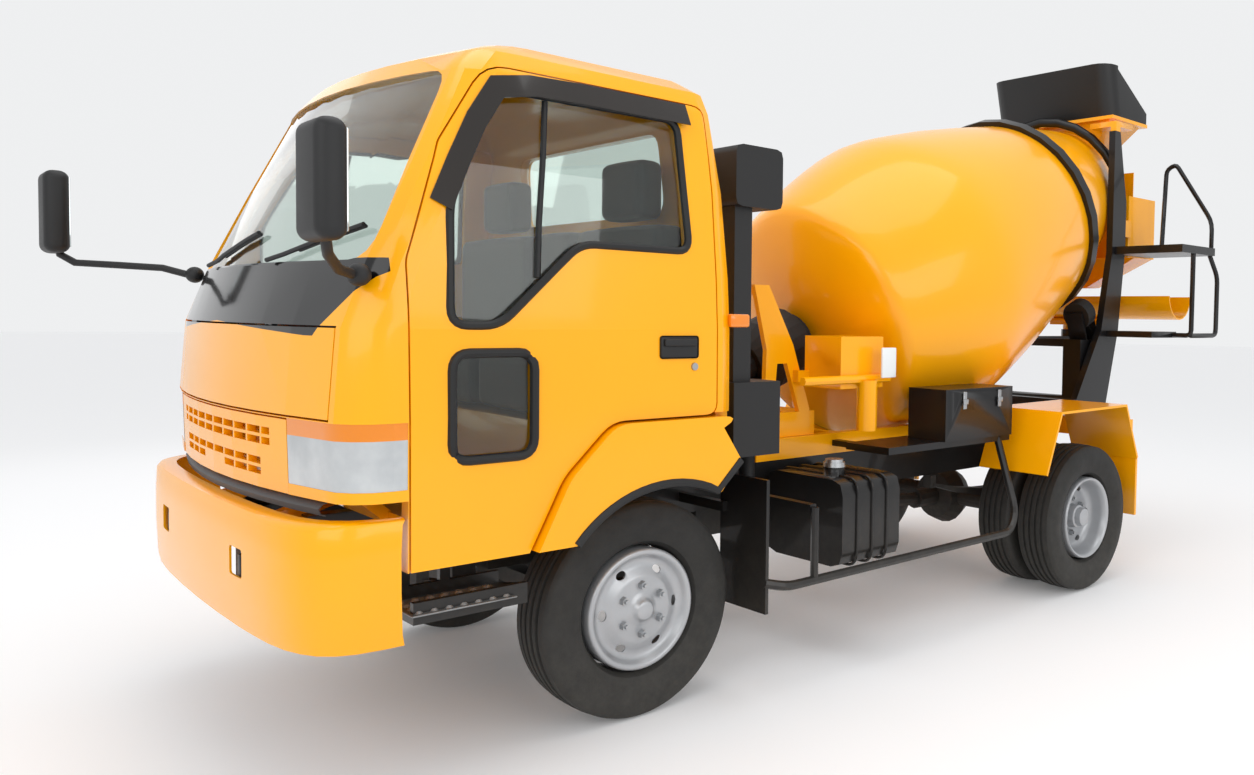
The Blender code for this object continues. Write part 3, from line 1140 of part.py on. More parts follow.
def hood():
    """Rubber guard that stands round the front and sides of the hopper."""
    def ring(front, inset, z, rear):
        corner = 0.10
        points = [(rear, -0.425 + inset)]
        for k in range(5):
            a = -pi / 2 + pi / 2 * k / 4
            points.append((front - inset - corner + corner * cos(a),
                           -0.425 + inset + corner + corner * sin(a)))
        points += [(x, -y) for x, y in points[::-1]]
        return [(x, y, z) for x, y in points]
    low = HOPPER_TOP + TOUCH
    made = add("hopper_hood", loft([ring(-3.510, 0, low, -3.925), ring(-3.430, 0, 2.880, -3.925)]),
               INDIA_RUBBER)
    slope = (3.510 - 3.430) / (2.880 - low)
    inside = loft([ring(-3.510 - slope * 0.05, HOOD_WALL, low - 0.05, -4.0),
                   ring(-3.430 + slope * 0.05, HOOD_WALL, 2.930, -4.0)])
    boolean(made, "DIFFERENCE", guide(inside))
    boolean(made, "DIFFERENCE", guide(prism([(-3.560, 2.95), (-3.560, 2.860), (-3.940, 2.640), (-4.1, 2.640),
                                             (-4.1, 2.95)], "y", -0.6, 0.6)))


def collector():
    """Fixed catcher under the drum's mouth that leads the concrete down to the chute."""
    outside, inside = funnel_shell((-3.925, -3.700, 0.500, 1.740), (-3.912, -3.762, 0.130, 1.560), 0.006)
    made = add("collector", outside, YELLOW)
    walls = guide(box((-3.925, -0.500, 1.735), (-3.600, 0.500, 2.100)))
    boolean(walls, "DIFFERENCE", guide(box((-3.919, -0.476, 1.60), (-3.40, 0.476, 2.30))))
    flap = guide(box((-3.925, -0.350, 2.080), (-3.919, 0.350, 2.290)))
    boolean(made, "UNION", walls, flap)
    boolean(made, "DIFFERENCE", guide(inside))
    stays = []
    for side in (-1, 1):
        low, high = sorted((side * 0.4895, side * 0.5075))
        stays.append(box((-3.620, low, 1.850), (-3.550 - TOUCH, high, 1.950)))
    boolean(made, "UNION", *[guide(bm) for bm in stays])


def platform():
    """Loading platform on the left with its rails, lower step and guard round the chute."""
    face = 0.510 + TOUCH
    r = 0.014
    rear = REAR_AXLE - REAR_REACH + r
    shapes = [box((-3.850, face, 1.740), (-3.430, 0.930, 1.785)),
              box((-3.650, face, 1.255), (-3.350, 0.800, 1.290)),
              pipe([(-3.830, 0.600, 1.770), (-3.830, 0.620, 2.270), (-3.830, 0.680, 2.300), (-3.830, 0.915, 1.940),
                    (-3.830, 0.915, 1.750)], r, 6, 0.05),
              pipe([(-3.600, 0.915, 1.770), (-3.600, 0.915, 1.270), (-3.600, 0.780, 1.270)], r, 6, 0.03),
              pipe([(-3.840, 0.900, 1.750), (rear, 0.915, 1.620), (rear, 0.915, 1.270), (-3.590, 0.915, 1.270)],
                   r, 6, 0.04)]
    joined("platform", shapes, BLACK)


def rear_wings_and_bar():
    """Arched wings over the twin wheels, and the bar with the tail lamps."""
    sill = RAIL_OUTER + 0.004 + TOUCH
    outer = [(-2.080, 0.620), (-2.200, 0.910), (-2.820, 0.915), (-2.950, 0.630)]
    inner = [(-2.940, 0.620), (-2.812, 0.903), (-2.208, 0.898), (-2.092, 0.615)]
    for side in (-1, 1):
        word = "left" if side > 0 else "right"
        shapes = [prism(outer + inner, "y", 0.560, BODY_HALF_WIDTH),
                  box((-2.962, 0.570, 0.320), (-2.944, 0.940, 0.650))]
        for x in (-2.350, -2.700):
            shapes.append(box((x - 0.02, sill, 0.785), (x + 0.02, 0.600, 0.815)))
            shapes.append(box((x - 0.02, 0.570, 0.785), (x + 0.02, 0.600, 0.905)))
        joined(f"rear_wing_{word}", shapes if side > 0 else [mirrored(shape) for shape in shapes], YELLOW)
    shapes = [box((-3.200, -0.780, 0.700), (RAIL_REAR - TOUCH, 0.780, 0.800))]
    for side in (-1, 1):
        low, high = sorted((side * 0.520, side * 0.760))
        shapes.append(box((-3.190, low, 0.450), (-3.175, high, 0.710)))
        shapes.append(box((-3.235, low, 0.470), (-3.180, high, 0.590)))
    joined("rear_bar", shapes, YELLOW)


drum()
rollers()
pedestal_and_drive()
control_box()
rear_frame()
chute()
hopper()
hood()
collector()
platform()
rear_wings_and_bar()
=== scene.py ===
import json
from math import cos, pi, radians, sin

import bmesh
import bpy
from mathutils import Matrix, Vector
from mathutils.bvhtree import BVHTree

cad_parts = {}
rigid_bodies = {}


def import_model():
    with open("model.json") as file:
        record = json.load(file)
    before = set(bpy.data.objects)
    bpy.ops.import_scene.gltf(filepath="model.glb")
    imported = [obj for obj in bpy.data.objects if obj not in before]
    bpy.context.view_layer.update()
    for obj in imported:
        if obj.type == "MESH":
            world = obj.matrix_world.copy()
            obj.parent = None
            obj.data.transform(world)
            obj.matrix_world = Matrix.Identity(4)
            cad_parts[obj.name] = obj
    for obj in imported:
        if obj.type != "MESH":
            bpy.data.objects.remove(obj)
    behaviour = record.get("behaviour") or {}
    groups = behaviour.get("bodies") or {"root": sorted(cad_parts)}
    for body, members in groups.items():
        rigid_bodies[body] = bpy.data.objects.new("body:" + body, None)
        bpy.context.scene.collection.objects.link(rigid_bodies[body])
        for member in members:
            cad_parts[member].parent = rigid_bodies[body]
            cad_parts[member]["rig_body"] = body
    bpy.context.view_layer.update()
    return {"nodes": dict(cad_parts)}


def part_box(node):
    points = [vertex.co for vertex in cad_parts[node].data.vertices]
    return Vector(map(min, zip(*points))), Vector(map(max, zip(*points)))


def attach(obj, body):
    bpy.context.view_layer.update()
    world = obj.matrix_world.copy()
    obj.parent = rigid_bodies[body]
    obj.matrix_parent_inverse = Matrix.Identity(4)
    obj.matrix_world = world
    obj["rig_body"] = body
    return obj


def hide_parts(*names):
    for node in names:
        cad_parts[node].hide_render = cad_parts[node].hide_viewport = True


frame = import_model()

# ---------------------------------------------------------------------------------------------
# Studio. A pale floor that runs out of sight, one large softbox overhead, one on each flank and
# a pale sky. All sizes below are in metres, measured forward, to the left and up from the point
# on the ground under the front axle, which is AXLE ahead of the frame's own middle.
AXLE = 1.304
EYE = Vector((AXLE + 1.864, 3.500, 1.3365))
YAW, PITCH, ROLL = -2.37249, -0.040244, 0.016474
ahead = Vector((cos(YAW) * cos(PITCH), sin(YAW) * cos(PITCH), sin(PITCH)))
level = ahead.cross(Vector((0, 0, 1))).normalized()
upward = level.cross(ahead)
across = cos(ROLL) * level + sin(ROLL) * upward
upright = cos(ROLL) * upward - sin(ROLL) * level
camera = bpy.data.objects.new("camera", bpy.data.cameras.new("camera"))
bpy.context.scene.collection.objects.link(camera)
camera.matrix_world = Matrix((across, upright, -ahead)).transposed().to_4x4()
camera.location = EYE
camera.data.sensor_width = 36
camera.data.lens = 28.53
camera.data.shift_x = -0.1803
camera.data.shift_y = -0.0231
camera.data.clip_start = 0.05
bpy.context.scene.camera = camera
bpy.context.scene.view_settings.view_transform = "Standard"


def colour(text):
    """An sRGB hex colour as the linear RGBA that a shader takes."""
    parts = [int(text[i:i + 2], 16) / 255 for i in (1, 3, 5)]
    return [c / 12.92 if c <= 0.04045 else ((c + 0.055) / 1.055) ** 2.4 for c in parts] + [1.0]


def add_node(tree, kind, links=None, **settings):
    """Adds a node, sets its properties and inputs, and joins its inputs to other nodes' outputs."""
    node = tree.nodes.new("ShaderNode" + kind)
    for key, value in settings.items():
        if hasattr(node, key):
            setattr(node, key, value)
        else:
            node.inputs[key.replace("_", " ")].default_value = value
    for socket, (source, output) in (links or {}).items():
        tree.links.new(source.outputs[output], node.inputs[socket])
    return node


floor_paint = bpy.data.materials.new("matt white studio floor")
floor_paint.use_nodes = True
floor_shader = floor_paint.node_tree.nodes["Principled BSDF"]
floor_shader.inputs["Base Color"].default_value = colour("#ececed")
floor_shader.inputs["Roughness"].default_value = 0.75
floor_shader.inputs["Emission Color"].default_value = colour("#ffffff")
floor_shader.inputs["Emission Strength"].default_value = 0.09
floor_mesh = bmesh.new()
bmesh.ops.create_circle(floor_mesh, cap_ends=True, segments=64, radius=60)
floor_data = bpy.data.meshes.new("studio_floor")
floor_mesh.to_mesh(floor_data)
floor_data.materials.append(floor_paint)
studio_floor = bpy.data.objects.new("studio_floor", floor_data)
bpy.context.scene.collection.objects.link(studio_floor)

sky = bpy.data.worlds.new("studio")
bpy.context.scene.world = sky
sky.use_nodes = True
sky.node_tree.nodes["Background"].inputs["Color"].default_value = colour("#f4f5f6")
sky.node_tree.nodes["Background"].inputs["Strength"].default_value = 0.95
for name, place, size, power in (("top", (0.5, 0.5, 6.5), (7, 4), 130),
                                 ("front", (6.0, 3.0, 3.5), (4, 3), 60),
                                 ("left", (0.5, 7.0, 3.2), (6, 2.4), 80),
                                 ("right", (0.0, -7.0, 4.0), (6, 3), 30)):
    lamp = bpy.data.lights.new(name, "AREA")
    lamp.shape = "RECTANGLE"
    lamp.size, lamp.size_y = size
    lamp.energy = power
    holder = bpy.data.objects.new("light_" + name, lamp)
    bpy.context.scene.collection.objects.link(holder)
    holder.location = place
    holder.rotation_euler = (Vector((0.0, 0, 1.0)) - Vector(place)).to_track_quat("-Z", "Y").to_euler()

# ---------------------------------------------------------------------------------------------
# Painted steel. The cab, drum and frames are pressed and welded sheet steel, sprayed with
# two-pack enamel: glossy with a faint orange peel, a little uneven, and dusty low down.


def finish_of(name, hue, second, rough, metal=0.0, coat=0.0, grain=0.0, grain_mm=1.0, patch_mm=220,
              dirt=0.0, dirt_top=0.75, dirt_hue="#8c8376"):
    """A surface with large soft patches of a second shade, fine grain and road dust low down."""
    made = bpy.data.materials.new(name)
    made.use_nodes = True
    tree = made.node_tree
    shader = tree.nodes["Principled BSDF"]
    shader.inputs["Metallic"].default_value = metal
    shader.inputs["Coat Weight"].default_value = coat
    shader.inputs["Coat Roughness"].default_value = 0.06
    shader.inputs["Specular IOR Level"].default_value = 0.3 if coat else 0.45
    where = add_node(tree, "TexCoord")
    patches = add_node(tree, "TexNoise", {"Vector": (where, "Object")}, Scale=1000 / patch_mm, Detail=4.0)
    blend = add_node(tree, "Mix", {0: (patches, "Fac")}, data_type="RGBA")
    blend.inputs[6].default_value = colour(hue)
    blend.inputs[7].default_value = colour(second)
    shade = (blend, 2)
    if dirt:
        height = add_node(tree, "SeparateXYZ", {0: (where, "Object")})
        low_down = add_node(tree, "MapRange", {"Value": (height, "Z")}, From_Min=0.0, From_Max=dirt_top,
                            To_Min=dirt, To_Max=0.0)
        specks = add_node(tree, "TexNoise", {"Vector": (where, "Object")}, Scale=26.0, Detail=8.0,
                          Roughness=0.7)
        share = add_node(tree, "Math", {0: (low_down, 0), 1: (specks, "Fac")}, operation="MULTIPLY")
        dusty = add_node(tree, "Mix", {0: (share, 0), 6: shade}, data_type="RGBA")
        dusty.inputs[7].default_value = colour(dirt_hue)
        shade = (dusty, 2)
    tree.links.new(shade[0].outputs[shade[1]], shader.inputs["Base Color"])
    sheen = add_node(tree, "MapRange", {"Value": (patches, "Fac")}, To_Min=rough * 0.8, To_Max=rough * 1.25)
    tree.links.new(sheen.outputs[0], shader.inputs["Roughness"])
    if grain:
        fine = add_node(tree, "TexNoise", {"Vector": (where, "Object")}, Scale=1000 / grain_mm, Detail=3.0)
        raised = add_node(tree, "Bump", {"Height": (fine, "Fac")}, Strength=grain, Distance=0.001)
        tree.links.new(raised.outputs[0], shader.inputs["Normal"])
    return made


def patch_on(made, hue, rough, bounds_of):
    """Lays a second colour over the part of a material where the given node chain reads one."""
    tree = made.node_tree
    shader = tree.nodes["Principled BSDF"]
    where = add_node(tree, "TexCoord")
    spot = add_node(tree, "SeparateXYZ", {0: (where, "Object")})
    mask = bounds_of(tree, spot)
    for socket, value in (("Base Color", colour(hue)), ("Roughness", rough)):
        feed = shader.inputs[socket].links[0].from_socket
        mixed = add_node(tree, "Mix", data_type="RGBA" if socket == "Base Color" else "FLOAT")
        first, second, out = (6, 7, 2) if socket == "Base Color" else (2, 3, 0)
        tree.links.new(mask.outputs[0], mixed.inputs[0])
        tree.links.new(feed, mixed.inputs[first])
        mixed.inputs[second].default_value = value
        tree.links.new(mixed.outputs[out], shader.inputs[socket])
    return made


AMBER, AMBER_DEEP = "#ffb000", "#ffa900"
yellow_enamel = finish_of("amber two-pack enamel on steel", AMBER, AMBER_DEEP, 0.24, coat=0.35,
                          grain=0.03, grain_mm=5, patch_mm=500, dirt=0.16, dirt_top=0.62)
black_enamel = finish_of("semi-gloss black enamel on steel", "#0c0c0d", "#141416", 0.34, coat=0.2,
                         grain=0.05, grain_mm=4, dirt=0.30)
underbody_paint = finish_of("dull black underbody paint on cast iron", "#101011", "#1b1a19", 0.6,
                            grain=0.25, grain_mm=6, dirt=0.4)


def smooth(mesh, angle=38):
    """Shades the mesh round, but keeps the edges that turn by more than the angle."""
    mesh.shade_smooth()
    mesh.set_sharp_from_angle(angle=radians(angle))


def refined(nodes, finish, angle=38):
    """Stands a welded, smoothly shaded copy in the place of each CAD node."""
    for node in nodes:
        source = frame["nodes"][node]
        bm = bmesh.new()
        bm.from_mesh(source.data)
        bmesh.ops.remove_doubles(bm, verts=bm.verts, dist=0.00002)
        bmesh.ops.dissolve_limit(bm, angle_limit=radians(0.4), verts=bm.verts, edges=bm.edges)
        mesh = bpy.data.meshes.new(node + "_finished")
        bm.to_mesh(mesh)
        mesh.materials.append(finish)
        smooth(mesh, angle)
        piece = bpy.data.objects.new(node + "_finished", mesh)
        bpy.context.scene.collection.objects.link(piece)
        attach(piece, source["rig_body"])
        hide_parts(node)


def dress(nodes, finish):
    """Gives CAD nodes whose shape is right their finished material."""
    for node in nodes:
        frame["nodes"][node].data.materials.clear()
        frame["nodes"][node].data.materials.append(finish)


refined(["door_left", "door_right", "front_wing_left", "front_wing_right", "rear_wing_left",
         "rear_wing_right", "drum_pedestal", "control_box", "hopper", "collector", "chute"],
        yellow_enamel)
dress(["mixer_subframe", "rear_bar"], yellow_enamel)

# ---------------------------------------------------------------------------------------------
# Cab shell and front lid. Pressed steel. A gloss black panel runs across the nose under the
# windscreen, its lower edge dipping in a shallow bow, and its ends cut up at a slant.
COWL_TOP = 1.475
cab_enamel = finish_of("amber enamel on the cab pressing", AMBER, AMBER_DEEP, 0.24, coat=0.35,
                       grain=0.03, grain_mm=5, patch_mm=500, dirt=0.16, dirt_top=0.62)


def on_the_cowl(tree, spot):
    """One where the nose panel is black: between its bowed lower edge and the windscreen."""
    aside = add_node(tree, "Math", {0: (spot, "Y")}, operation="ABSOLUTE")
    outer = add_node(tree, "MapRange", {"Value": (aside, 0)}, From_Min=0.66, From_Max=0.86,
                     To_Min=0.0, To_Max=0.19)
    bowed = add_node(tree, "MapRange", {"Value": (aside, 0)}, From_Min=0.0, From_Max=0.62,
                     To_Min=1.300, To_Max=1.268)
    edge = add_node(tree, "Math", {0: (outer, 0), 1: (bowed, 0)}, operation="ADD")
    above = add_node(tree, "Math", {0: (spot, "Z"), 1: (edge, 0)}, operation="GREATER_THAN")
    below = add_node(tree, "Math", {0: (spot, "Z")}, operation="LESS_THAN")
    below.inputs[1].default_value = COWL_TOP
    forward = add_node(tree, "Math", {0: (spot, "X")}, operation="GREATER_THAN")
    forward.inputs[1].default_value = AXLE + 0.845
    both = add_node(tree, "Math", {0: (above, 0), 1: (below, 0)}, operation="MULTIPLY")
    return add_node(tree, "Math", {0: (both, 0), 1: (forward, 0)}, operation="MULTIPLY")


patch_on(cab_enamel, "#08080a", 0.12, on_the_cowl)
refined(["cab_shell", "front_lid"], cab_enamel, angle=35)

# ---------------------------------------------------------------------------------------------
# Glass. Green-tinted float glass in the windscreen, rear window and doors, with a dark rubber
# seal round each pane.
tinted_glass = bpy.data.materials.new("green-tinted float glass")
tinted_glass.use_nodes = True
pane = tinted_glass.node_tree.nodes["Principled BSDF"]
pane.inputs["Base Color"].default_value = colour("#dfe9e4")
pane.inputs["Roughness"].default_value = 0.02
pane.inputs["IOR"].default_value = 1.45
pane.inputs["Transmission Weight"].default_value = 1.0
refined(["windscreen", "rear_window", "door_glass_left", "door_glass_right",
         "door_lower_glass_left"], tinted_glass, angle=30)
seal_rubber = finish_of("extruded EPDM seal", "#0b0b0c", "#131314", 0.5, grain=0.15, grain_mm=2)


def fit(name, bm, finish, body, angle=38, moved=True):
    """Makes the mesh a piece, moves it to the truck's place and lets it ride on its body."""
    if moved:
        bmesh.ops.translate(bm, vec=(AXLE, 0, 0), verts=bm.verts)
    mesh = bpy.data.meshes.new(name)
    bm.to_mesh(mesh)
    bm.free()
    mesh.materials.append(finish)
    smooth(mesh, angle)
    piece = bpy.data.objects.new(name, mesh)
    bpy.context.scene.collection.objects.link(piece)
    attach(piece, body)
    return piece


def hose(bm, points, radius, sides=10, closed=False):
    """Adds a round bar or tube through the points to the mesh."""
    curve = bpy.data.curves.new("line", "CURVE")
    curve.dimensions = "3D"
    curve.bevel_depth = radius
    curve.bevel_resolution = max(1, sides // 4)
    curve.use_fill_caps = not closed
    line = curve.splines.new("POLY")
    line.points.add(len(points) - 1)
    for spot, point in zip(line.points, points):
        spot.co = (*point, 1)
    line.use_cyclic_u = closed
    holder = bpy.data.objects.new("line", curve)
    mesh = bpy.data.meshes.new_from_object(holder)
    bm.from_mesh(mesh)
    bpy.data.objects.remove(holder)
    bpy.data.curves.remove(curve)
    bpy.data.meshes.remove(mesh)


def block(bm, low, high, ease=0.0, segments=2):
    """Adds a box between two corners, with its edges rounded off."""
    low, high = [min(a, b) for a, b in zip(low, high)], [max(a, b) for a, b in zip(low, high)]
    size = [b - a for a, b in zip(low, high)]
    middle = [(a + b) / 2 for a, b in zip(low, high)]
    made = bmesh.ops.create_cube(bm, size=1, matrix=Matrix.Translation(middle) @ Matrix.Diagonal((*size, 1)))
    if ease:
        edges = {edge for vert in made["verts"] for edge in vert.link_edges}
        bmesh.ops.bevel(bm, geom=list(edges), offset=ease, affect="EDGES", segments=segments,
                        profile=0.5, material=-1)


trees = {}


def touch(node, start, way):
    """The point where a line from start meets a CAD node, and the way the surface faces there."""
    if node not in trees:
        bm = bmesh.new()
        bm.from_mesh(frame["nodes"][node].data)
        trees[node] = BVHTree.FromBMesh(bm)
        bm.free()
    start = Vector(start) + Vector((AXLE, 0, 0))
    spot, normal, _, _ = trees[node].ray_cast(start, Vector(way).normalized())
    if spot is None:
        raise ValueError(f"nothing of {node} lies that way")
    if normal.dot(Vector(way)) > 0:
        normal = -normal
    return spot - Vector((AXLE, 0, 0)), normal


# ---------------------------------------------------------------------------------------------
# Window frames in the doors. Black rubber runs round each opening, a black divider bar splits
# the quarter light from the sliding pane, and a smoked acrylic visor sits over the top edge.
LOW_PANE = (0.455, 0.695, 0.930, 1.225)
smoked_acrylic = finish_of("smoked acrylic", "#1a1512", "#221b16", 0.12, coat=0.5)
BEYOND = 1.4                    # clear of the cab's side, where each look inward starts
WINDOW_LINE = [(0.700, 1.300), (0.560, 1.300), (0.300, 1.545), (-0.100, 1.545), (-0.085, 1.975),
               (0.530, 1.975), (0.690, 1.640)]


def along(points, gap=0.05):
    """The closed line's points with their corners rounded, so a bar follows them without a kink."""
    made = []
    count = len(points)
    for i, point in enumerate(points):
        p = Vector(point)
        before, after = Vector(points[i - 1]), Vector(points[(i + 1) % count])
        a = p + (before - p).normalized() * min(gap, (before - p).length / 2.2)
        b = p + (after - p).normalized() * min(gap, (after - p).length / 2.2)
        for step in range(6):
            t = step / 5
            made.append(a * (1 - t) ** 2 + p * 2 * t * (1 - t) + b * t * t)
    return made


for side, word in ((1, "left"), (-1, "right")):
    bm = bmesh.new()
    loop = []
    for x, z in along(WINDOW_LINE):
        for step in range(12):
            inward = step * 0.015
            start = (x + (0.32 - x) * inward, side * BEYOND, z + (1.70 - z) * inward)
            try:
                spot, _ = touch("door_glass_" + word, start, (0, -side, 0))
                break
            except ValueError:
                continue
        loop.append((x, spot.y + side * 0.012, z))
    hose(bm, loop, 0.013, 8, closed=True)
    bar = []
    for x, z in ((0.380, 1.960), (0.400, 1.800), (0.425, 1.600), (0.437, 1.440)):
        spot, _ = touch("door_glass_" + word, (x, side * BEYOND, z), (0, -side, 0))
        bar.append((x, spot.y + side * 0.004, z))
    hose(bm, bar, 0.009, 8)
    fit("window_seal_" + word, bm, seal_rubber, word + "_door")


def outside(x, z, side, word):
    """How far out the cab's side stands at this place, whichever of its pieces is met there."""
    found = []
    for node in ("door_" + word, "cab_shell", "door_glass_" + word, "door_lower_glass_left"):
        for nudge in (0.0, 0.004, -0.004):
            try:
                found.append(abs(touch(node, (x + nudge, side * BEYOND, z + nudge), (0, -side, 0))[0].y))
            except ValueError:
                continue
    return side * max(found)


# The lower window in the left door has a broad moulded frame of its own.
bm = bmesh.new()
loop = []
for x, z in along([(LOW_PANE[0], LOW_PANE[2]), (LOW_PANE[1], LOW_PANE[2]), (LOW_PANE[1], LOW_PANE[3]),
                   (LOW_PANE[0], LOW_PANE[3])], 0.05):
    loop.append((x, outside(x, z, 1, "left") - 0.002, z))
hose(bm, loop, 0.014, 8, closed=True)
fit("lower_window_frame", bm, seal_rubber, "left_door")


# The visor is a thin blown strip, stuck along the top and the sloping front of the frame.
VISOR_TOP = ((0.742, 1.640), (0.690, 1.760), (0.625, 1.890), (0.550, 2.005), (0.430, 2.028), (0.250, 2.034),
             (0.050, 2.034), (-0.125, 2.034))
VISOR_FOOT = ((0.690, 1.610), (0.640, 1.730), (0.585, 1.845), (0.520, 1.945), (0.420, 1.965), (0.250, 1.968),
              (0.050, 1.966), (-0.120, 1.962))
for side, word in ((1, "left"), (-1, "right")):
    bm = bmesh.new()
    rows = []
    for line, proud in ((VISOR_TOP, 0.004), (VISOR_FOOT, 0.030)):
        verts = [bm.verts.new((x, outside(x, z, side, word) + side * proud, z)) for x, z in line]
        rows += [bm.edges.new(pair) for pair in zip(verts, verts[1:])]
    bmesh.ops.bridge_loops(bm, edges=rows)
    bmesh.ops.recalc_face_normals(bm, faces=bm.faces)
    bmesh.ops.solidify(bm, geom=bm.faces, thickness=0.003)
    bmesh.ops.recalc_face_normals(bm, faces=bm.faces)
    fit("visor_" + word, bm, smoked_acrylic, word + "_door", angle=60)

# ---------------------------------------------------------------------------------------------
# Door handles and locks. A black moulded paddle handle in a dished plate, and a steel barrel
# lock under its rear end.
black_moulding = finish_of("moulded black polypropylene", "#121213", "#1a1a1b", 0.5, grain=0.35,
                           grain_mm=1.2, dirt=0.25)
bright_steel = finish_of("zinc-plated steel", "#b9bbbd", "#9fa1a3", 0.35, metal=1.0, grain=0.1, grain_mm=2)
for side, word in ((1, "left"), (-1, "right")):
    spot, _ = touch("door_" + word, (-0.050, side * BEYOND, 1.235), (0, -side, 0))
    bm = bmesh.new()
    block(bm, (-0.122, spot.y - side * 0.004, 1.198), (0.028, spot.y + side * 0.006, 1.272), 0.010, 3)
    block(bm, (-0.110, spot.y + side * 0.005, 1.238), (0.016, spot.y + side * 0.016, 1.262), 0.005, 3)
    fit("door_handle_" + word, bm, black_moulding, word + "_door")
    spot, _ = touch("door_" + word, (-0.108, side * BEYOND, 1.171), (0, -side, 0))
    bm = bmesh.new()
    place = Matrix.Translation((-0.108, spot.y, 1.171)) @ Matrix.Rotation(-side * pi / 2, 4, "X")
    bmesh.ops.create_cone(bm, cap_ends=True, segments=24, radius1=0.014, radius2=0.012, depth=0.012,
                          matrix=place)
    fit("door_lock_" + word, bm, bright_steel, word + "_door")

# ---------------------------------------------------------------------------------------------
# Wipers. Two black arms on spindles at the foot of the windscreen, each with a long blade that
# lies on the glass, parked low and leaning to the left.
for count, (foot, tip) in enumerate((((0.300, 1.470), (0.700, 1.560)), ((-0.330, 1.470), (0.100, 1.560)))):
    bm = bmesh.new()
    line = []
    for step in range(7):
        t = step / 6
        y, z = foot[0] + (tip[0] - foot[0]) * t, foot[1] + (tip[1] - foot[1]) * t
        try:
            spot, facing = touch("windscreen", (2.0, y, z), (-1, 0, 0))
        except ValueError:
            spot, facing = touch("cab_shell", (2.0, y, z), (-1, 0, 0))
        line.append(spot + facing * 0.016)
    hose(bm, line, 0.007, 8)
    blade = [point - Vector((0.006, 0, 0.004)) for point in line[2:]]
    hose(bm, blade, 0.0055, 6)
    fit(f"wiper_{count + 1}", bm, black_moulding, "cab")

# ---------------------------------------------------------------------------------------------
# Bumper. A deep steel pressing in the cab's colour that wraps round the corners, with its top
# edge turned in, two square openings for the tow hooks and a grey moulded filler under the grille.
BUMPER_PLAN = [(0.858, 0.818), (0.857, 0.870), (0.848, 0.935), (0.828, 0.978), (0.795, 1.012), (0.750, 1.036),
               (0.690, 1.055), (0.600, 1.070), (0.500, 1.078), (0.400, 1.084), (0.200, 1.090), (0.0, 1.092)]
BUMPER_FOOT, BUMPER_END = 0.455, 0.815
plan = BUMPER_PLAN + [(-y, x) for y, x in BUMPER_PLAN[-2::-1]]
bm = bmesh.new()
verts = [bm.verts.new((x, y, BUMPER_FOOT)) for y, x in plan]
row = [bm.edges.new(pair) for pair in zip(verts, verts[1:])]
for shift, shrink in (((0.006, 0, 0.030), 1.004), ((0.004, 0, 0.115), 1.003), ((0, 0, 0.030), 1.0),
                      ((0, 0, 0.071), 1.0), ((-0.004, 0, 0.075), 0.998), ((-0.008, 0, 0.012), 0.994),
                      ((-0.014, 0, 0.004), 0.988), ((-0.030, 0, 0.000), 0.970)):
    made = bmesh.ops.extrude_edge_only(bm, edges=row)
    row = [item for item in made["geom"] if isinstance(item, bmesh.types.BMEdge)]
    raised = list({vert for edge in row for vert in edge.verts})
    bmesh.ops.translate(bm, vec=shift, verts=raised)
    bmesh.ops.scale(bm, vec=(1, shrink, 1), verts=raised)
    for vert in raised:
        vert.co.x = max(vert.co.x, BUMPER_END)
bmesh.ops.recalc_face_normals(bm, faces=bm.faces)
if sum(face.normal.x for face in bm.faces) < 0:
    bmesh.ops.reverse_faces(bm, faces=bm.faces)
bmesh.ops.solidify(bm, geom=bm.faces, thickness=0.006)
bmesh.ops.recalc_face_normals(bm, faces=bm.faces)
bumper_piece = fit("bumper_pressing", bm, yellow_enamel, "chassis", angle=40)
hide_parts("front_bumper")
openings = bmesh.new()
for side in (1, -1):
    block(openings, (AXLE + 0.95, side * 0.350, 0.600), (AXLE + 1.20, side * 0.450, 0.680), 0.010, 3)


def cut_out(piece, bm, angle):
    """Cuts the shapes in the bmesh out of the piece for good."""
    mesh = bpy.data.meshes.new("cutter")
    bm.to_mesh(mesh)
    bm.free()
    tool = bpy.data.objects.new("cutter", mesh)
    bpy.context.scene.collection.objects.link(tool)
    cut = piece.modifiers.new("cut", "BOOLEAN")
    cut.object = tool
    cut.operation = "DIFFERENCE"
    cut.solver = "EXACT"
    bpy.context.view_layer.update()
    done = bpy.data.meshes.new_from_object(piece.evaluated_get(bpy.context.evaluated_depsgraph_get()))
    piece.modifiers.remove(cut)
    piece.data = done
    smooth(done, angle)
    bpy.data.objects.remove(tool)


cut_out(bumper_piece, openings, 40)
grey_moulding = finish_of("moulded grey polypropylene", "#4d4f51", "#57595b", 0.55, grain=0.3,
                          grain_mm=1.5, dirt=0.2)
bm = bmesh.new()
line = []
for step in range(29):
    y = -0.690 + 1.380 * step / 28
    line.append((touch("front_bumper", (2.0, y, 0.820), (-1, 0, 0))[0].x, y))
verts = [bm.verts.new((x, y, 0.790)) for x, y in line]
row = [bm.edges.new(pair) for pair in zip(verts, verts[1:])]
for shift in ((0.014, 0, 0.006), (0.004, 0, 0.016), (-0.010, 0, 0.012), (-0.012, 0, 0.004)):
    made = bmesh.ops.extrude_edge_only(bm, edges=row)
    row = [item for item in made["geom"] if isinstance(item, bmesh.types.BMEdge)]
    bmesh.ops.translate(bm, vec=shift, verts=list({vert for edge in row for vert in edge.verts}))
bmesh.ops.recalc_face_normals(bm, faces=bm.faces)
bmesh.ops.solidify(bm, geom=bm.faces, thickness=0.003)
bmesh.ops.recalc_face_normals(bm, faces=bm.faces)
fit("bumper_filler", bm, grey_moulding, "chassis", angle=50)
